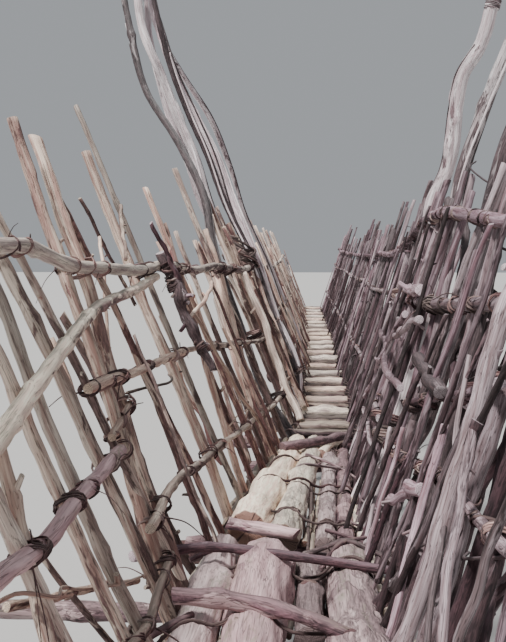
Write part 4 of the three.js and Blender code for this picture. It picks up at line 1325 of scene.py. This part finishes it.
# How often a pole or a vine is smoothed over the logs, and how far a vine's middle hangs each time
POLE_ROUNDS, VINE_ROUNDS, VINE_SAG = 1500, 6, 1.5


def drape(pile, places, radius, seed, tone, bark=0.7, fall=0, sides=9, knots=3, stiff=True, **looks):
    """A vine or a stiff pole laid over the logs through the given places across and along."""
    flat, _ = spline([(x, y, 0) for x, y in places], 46)
    tops = [deck_top(x, y) for x, y, _ in flat]
    known = [i for i, top in enumerate(tops) if top is not None]
    level = np.interp(range(len(flat)), known, [tops[i] for i in known])
    for _ in range(POLE_ROUNDS if stiff else VINE_ROUNDS):
        middle = (level[:-2] + level[2:]) / 2
        level[1:-1] = np.maximum(level[1:-1], middle - (0 if stiff else VINE_SAG))
    first, last = known[0], known[-1]
    for i in range(len(flat)):
        if i < first:
            level[i] -= fall * ((first - i) / max(first, 1)) ** 1.5
        if i > last:
            level[i] -= fall * ((i - last) / max(len(flat) - 1 - last, 1)) ** 1.5
    points = [(x, y, z + radius * 0.8) for (x, y, _), z in zip(flat, level)]
    stick(pile, points, (radius, radius * 0.85), seed, sides, max(radius * 1.1, 9), lump=0.1, knots=knots,
          tone=tone, bark=bark, slant=0.6, straight=True, **looks)


# The slanting pole of the second tier: across, along, height above the deck's level
SLANTING_POLE = [(-62, 2925, 22), (100, 3150, 19), (250, 3385, 2)]
# Twigs over the logs: across and along at both ends, radius
TWIGS = [
    (40, 1650, 330, 1500, 8), (90, 1540, 345, 1680, 7), (110, 1810, 300, 1640, 6), (-60, 1600, 250, 1660, 9),
    (-290, 1540, 40, 1640, 8), (150, 1990, 300, 1800, 5), (-20, 2620, 230, 2790, 7), (40, 2900, 250, 2700, 6),
]
# Fillers in the gaps between logs: across, along at both ends, radius, bed
FILLERS = [
    (13, 60, 900, 9, NEAR_LOG_BED - 30), (14, 1100, 1640, 9, NEAR_LOG_BED - 30),
    (-150, 200, 1600, 9, NEAR_LOG_BED - 40), (62, 1720, 2700, 15, SECOND_LOG_BED),
    (48, 1760, 2500, 11, SECOND_LOG_BED - 26), (96, 2100, 3300, 12, SECOND_LOG_BED - 10),
    (141, 1750, 2900, 10, SECOND_LOG_BED),
]
# Vines over the logs: places across and along, radius
DECK_TIES = [
    ([(-190, 2290), (-139, 2350), (40, 2400), (208, 2477), (290, 2440)], 6),
    ([(-200, 2330), (-90, 2390), (60, 2330), (230, 2420)], 4.5),
    ([(66, 2420), (60, 2050), (52, 1700)], 6),
    ([(-240, 1900), (-100, 1940), (80, 1900), (260, 1930)], 4.5),
    ([(-300, 1380), (-120, 1440), (60, 1410), (190, 1450), (300, 1360)], 5.5),
    ([(-310, 1330), (-60, 1370), (120, 1450), (290, 1430)], 4.5),
    ([(-330, 960), (-160, 1010), (60, 960), (290, 900)], 5),
    ([(-120, 2760), (30, 2860), (200, 2840)], 5),
    ([(-60, 3150), (90, 3240), (240, 3200)], 5),
    ([(-320, 480), (-60, 520), (280, 470)], 6),
    ([(-320, 540), (0, 470), (280, 560)], 5),
]


def lay_edge_sticks(pile):
    """Sticks along both edges of the deck, on the joists' ends."""
    rng = random.Random(1930)
    for side in (LEFT, RIGHT):
        for k in range(15):
            radius = rng.uniform(8, 17)
            start = rng.uniform(0, 2900)
            end = min(start + rng.uniform(500, 1300), 3440)
            shift = rng.uniform(-4, 34)
            row = []
            for t in (0, 0.5, 1):
                y = start + (end - start) * t
                bed = joist_level(y) + JOIST_R
                row.append((deck_centre(y) + side * (deck_half(y) + shift + rng.uniform(-8, 8)), y,
                            bed + radius + rng.uniform(0, 16)))
            stick(pile, row, (radius, radius * 0.8), 1940 + k * 3 + side, 10, 24, lump=0.1, knots=4, wander=4,
                  tone=rng.uniform(0.2, 0.9), bark=(rng.uniform(0.2, 1.0), rng.uniform(0.0, 1.0)), slant=0.7,
                  stubs=1)


def lay_fillers(pile):
    for k, (x, start, end, radius, bed) in enumerate(FILLERS):
        drift = deck_centre(end) - deck_centre(start)
        row = []
        for t in (0, 0.5, 1):
            y = start + (end - start) * t
            row.append((x + drift * t, y, deck_level(y) - bed + radius))
        stick(pile, row, (radius, radius * 0.85), 1990 + k, 12, 20, lump=0.1, knots=5, wander=3, tone=0.4,
              bark=0.7, slant=0.7)


def build_deck_sticks():
    pale, dull, vines = Pile(), Pile(), Pile()
    drape(dull, [(-346, 908), (-300, 960), (-212, 1030)], 10, 1901, 0.4, (0.5, 0.8), sides=10, stubs=1)
    drape(dull, [(-204, 1799), (-95, 1750), (19, 1696)], 19, 1902, 0.95, (0.5, 0.3, 0.0), sides=16, knots=4)
    drape(pale, [(108, 3091), (150, 3260), (205, 3425)], 26, 1903, 0.9, (0.0, 0.3), sides=18, knots=4)
    stick(dull, [(x, y, deck_level(y) + above) for x, y, above in SLANTING_POLE], (23, 18), 1904, 16, 16,
          lump=0.09, knots=4, tone=0.45, bark=(0.7, 1.0), slant=0.6, wander=3)
    for k, (x0, y0, x1, y1, radius) in enumerate(TWIGS):
        drape(dull, [(x0, y0), ((x0 + x1) / 2, (y0 + y1) / 2 + 20), (x1, y1)], radius, 1910 + k,
              0.1 + 0.08 * k, stubs=1)
    lay_edge_sticks(pale)
    lay_fillers(pale)
    pale.piece("deck_loose_sticks", "pole", "slat_wood")
    dull.piece("deck_cross_sticks", "log", "log_wood")
    for k, (places, radius) in enumerate(DECK_TIES):
        drape(vines, places, radius, 2010 + k, 0.35 + 0.05 * k, fall=70, sides=8, stiff=False, wander=2)
    vines.piece("deck_ties", "vine", "liana")


build_bearers()
build_cross_sticks()
build_logs()
build_slats()
build_cribs()
build_rails()
for word, side in SIDES.items():
    for i, (first, last) in enumerate(zip(PANEL_ENDS, PANEL_ENDS[1:])):
        fence(word, side, i + 1, first, last)
build_stays()
build_deck_bindings()
build_picks()
build_knotty_stick()
build_thickets()
build_deck_sticks()


# Camera, light and studio floor
def link(name, data):
    thing = bpy.data.objects.new(name, data)
    bpy.context.scene.collection.objects.link(thing)
    return thing


scene = bpy.context.scene
lens = bpy.data.cameras.new("view")
lens.lens = 49.96
lens.sensor_width = 36.0
lens.sensor_fit = "AUTO"
lens.clip_start = 0.05
lens.clip_end = 200.0
view = link("view", lens)
view.location = (0.067, -1.0, 1.46)
view.rotation_euler = (math.radians(90 - 4.04), 0.0, math.radians(3.85))
scene.camera = view

sheet = bpy.data.meshes.new("floor")
sheet.from_pydata([(-60, -40, 0), (60, -40, 0), (60, 90, 0), (-60, 90, 0)], [], [(0, 1, 2, 3)])
floor = link("floor", sheet)
plain = bpy.data.materials.new("floor")
plain.use_nodes = True
skin = plain.node_tree.nodes["Principled BSDF"]
skin.inputs["Base Color"].default_value = (0.5, 0.5, 0.49, 1)
skin.inputs["Roughness"].default_value = 0.9
sheet.materials.append(plain)

world = bpy.data.worlds.new("studio")
world.use_nodes = True
sky = world.node_tree.nodes["Background"]
sky.inputs["Color"].default_value = (0.86, 0.9, 0.95, 1)
sky.inputs["Strength"].default_value = 0.42
scene.world = world
lamp = bpy.data.lights.new("sun", "SUN")
lamp.energy = 5.4
lamp.angle = math.radians(9)
lamp.color = (1.0, 0.965, 0.94)
link("sun", lamp).rotation_euler = (math.radians(28), math.radians(-22), 0)
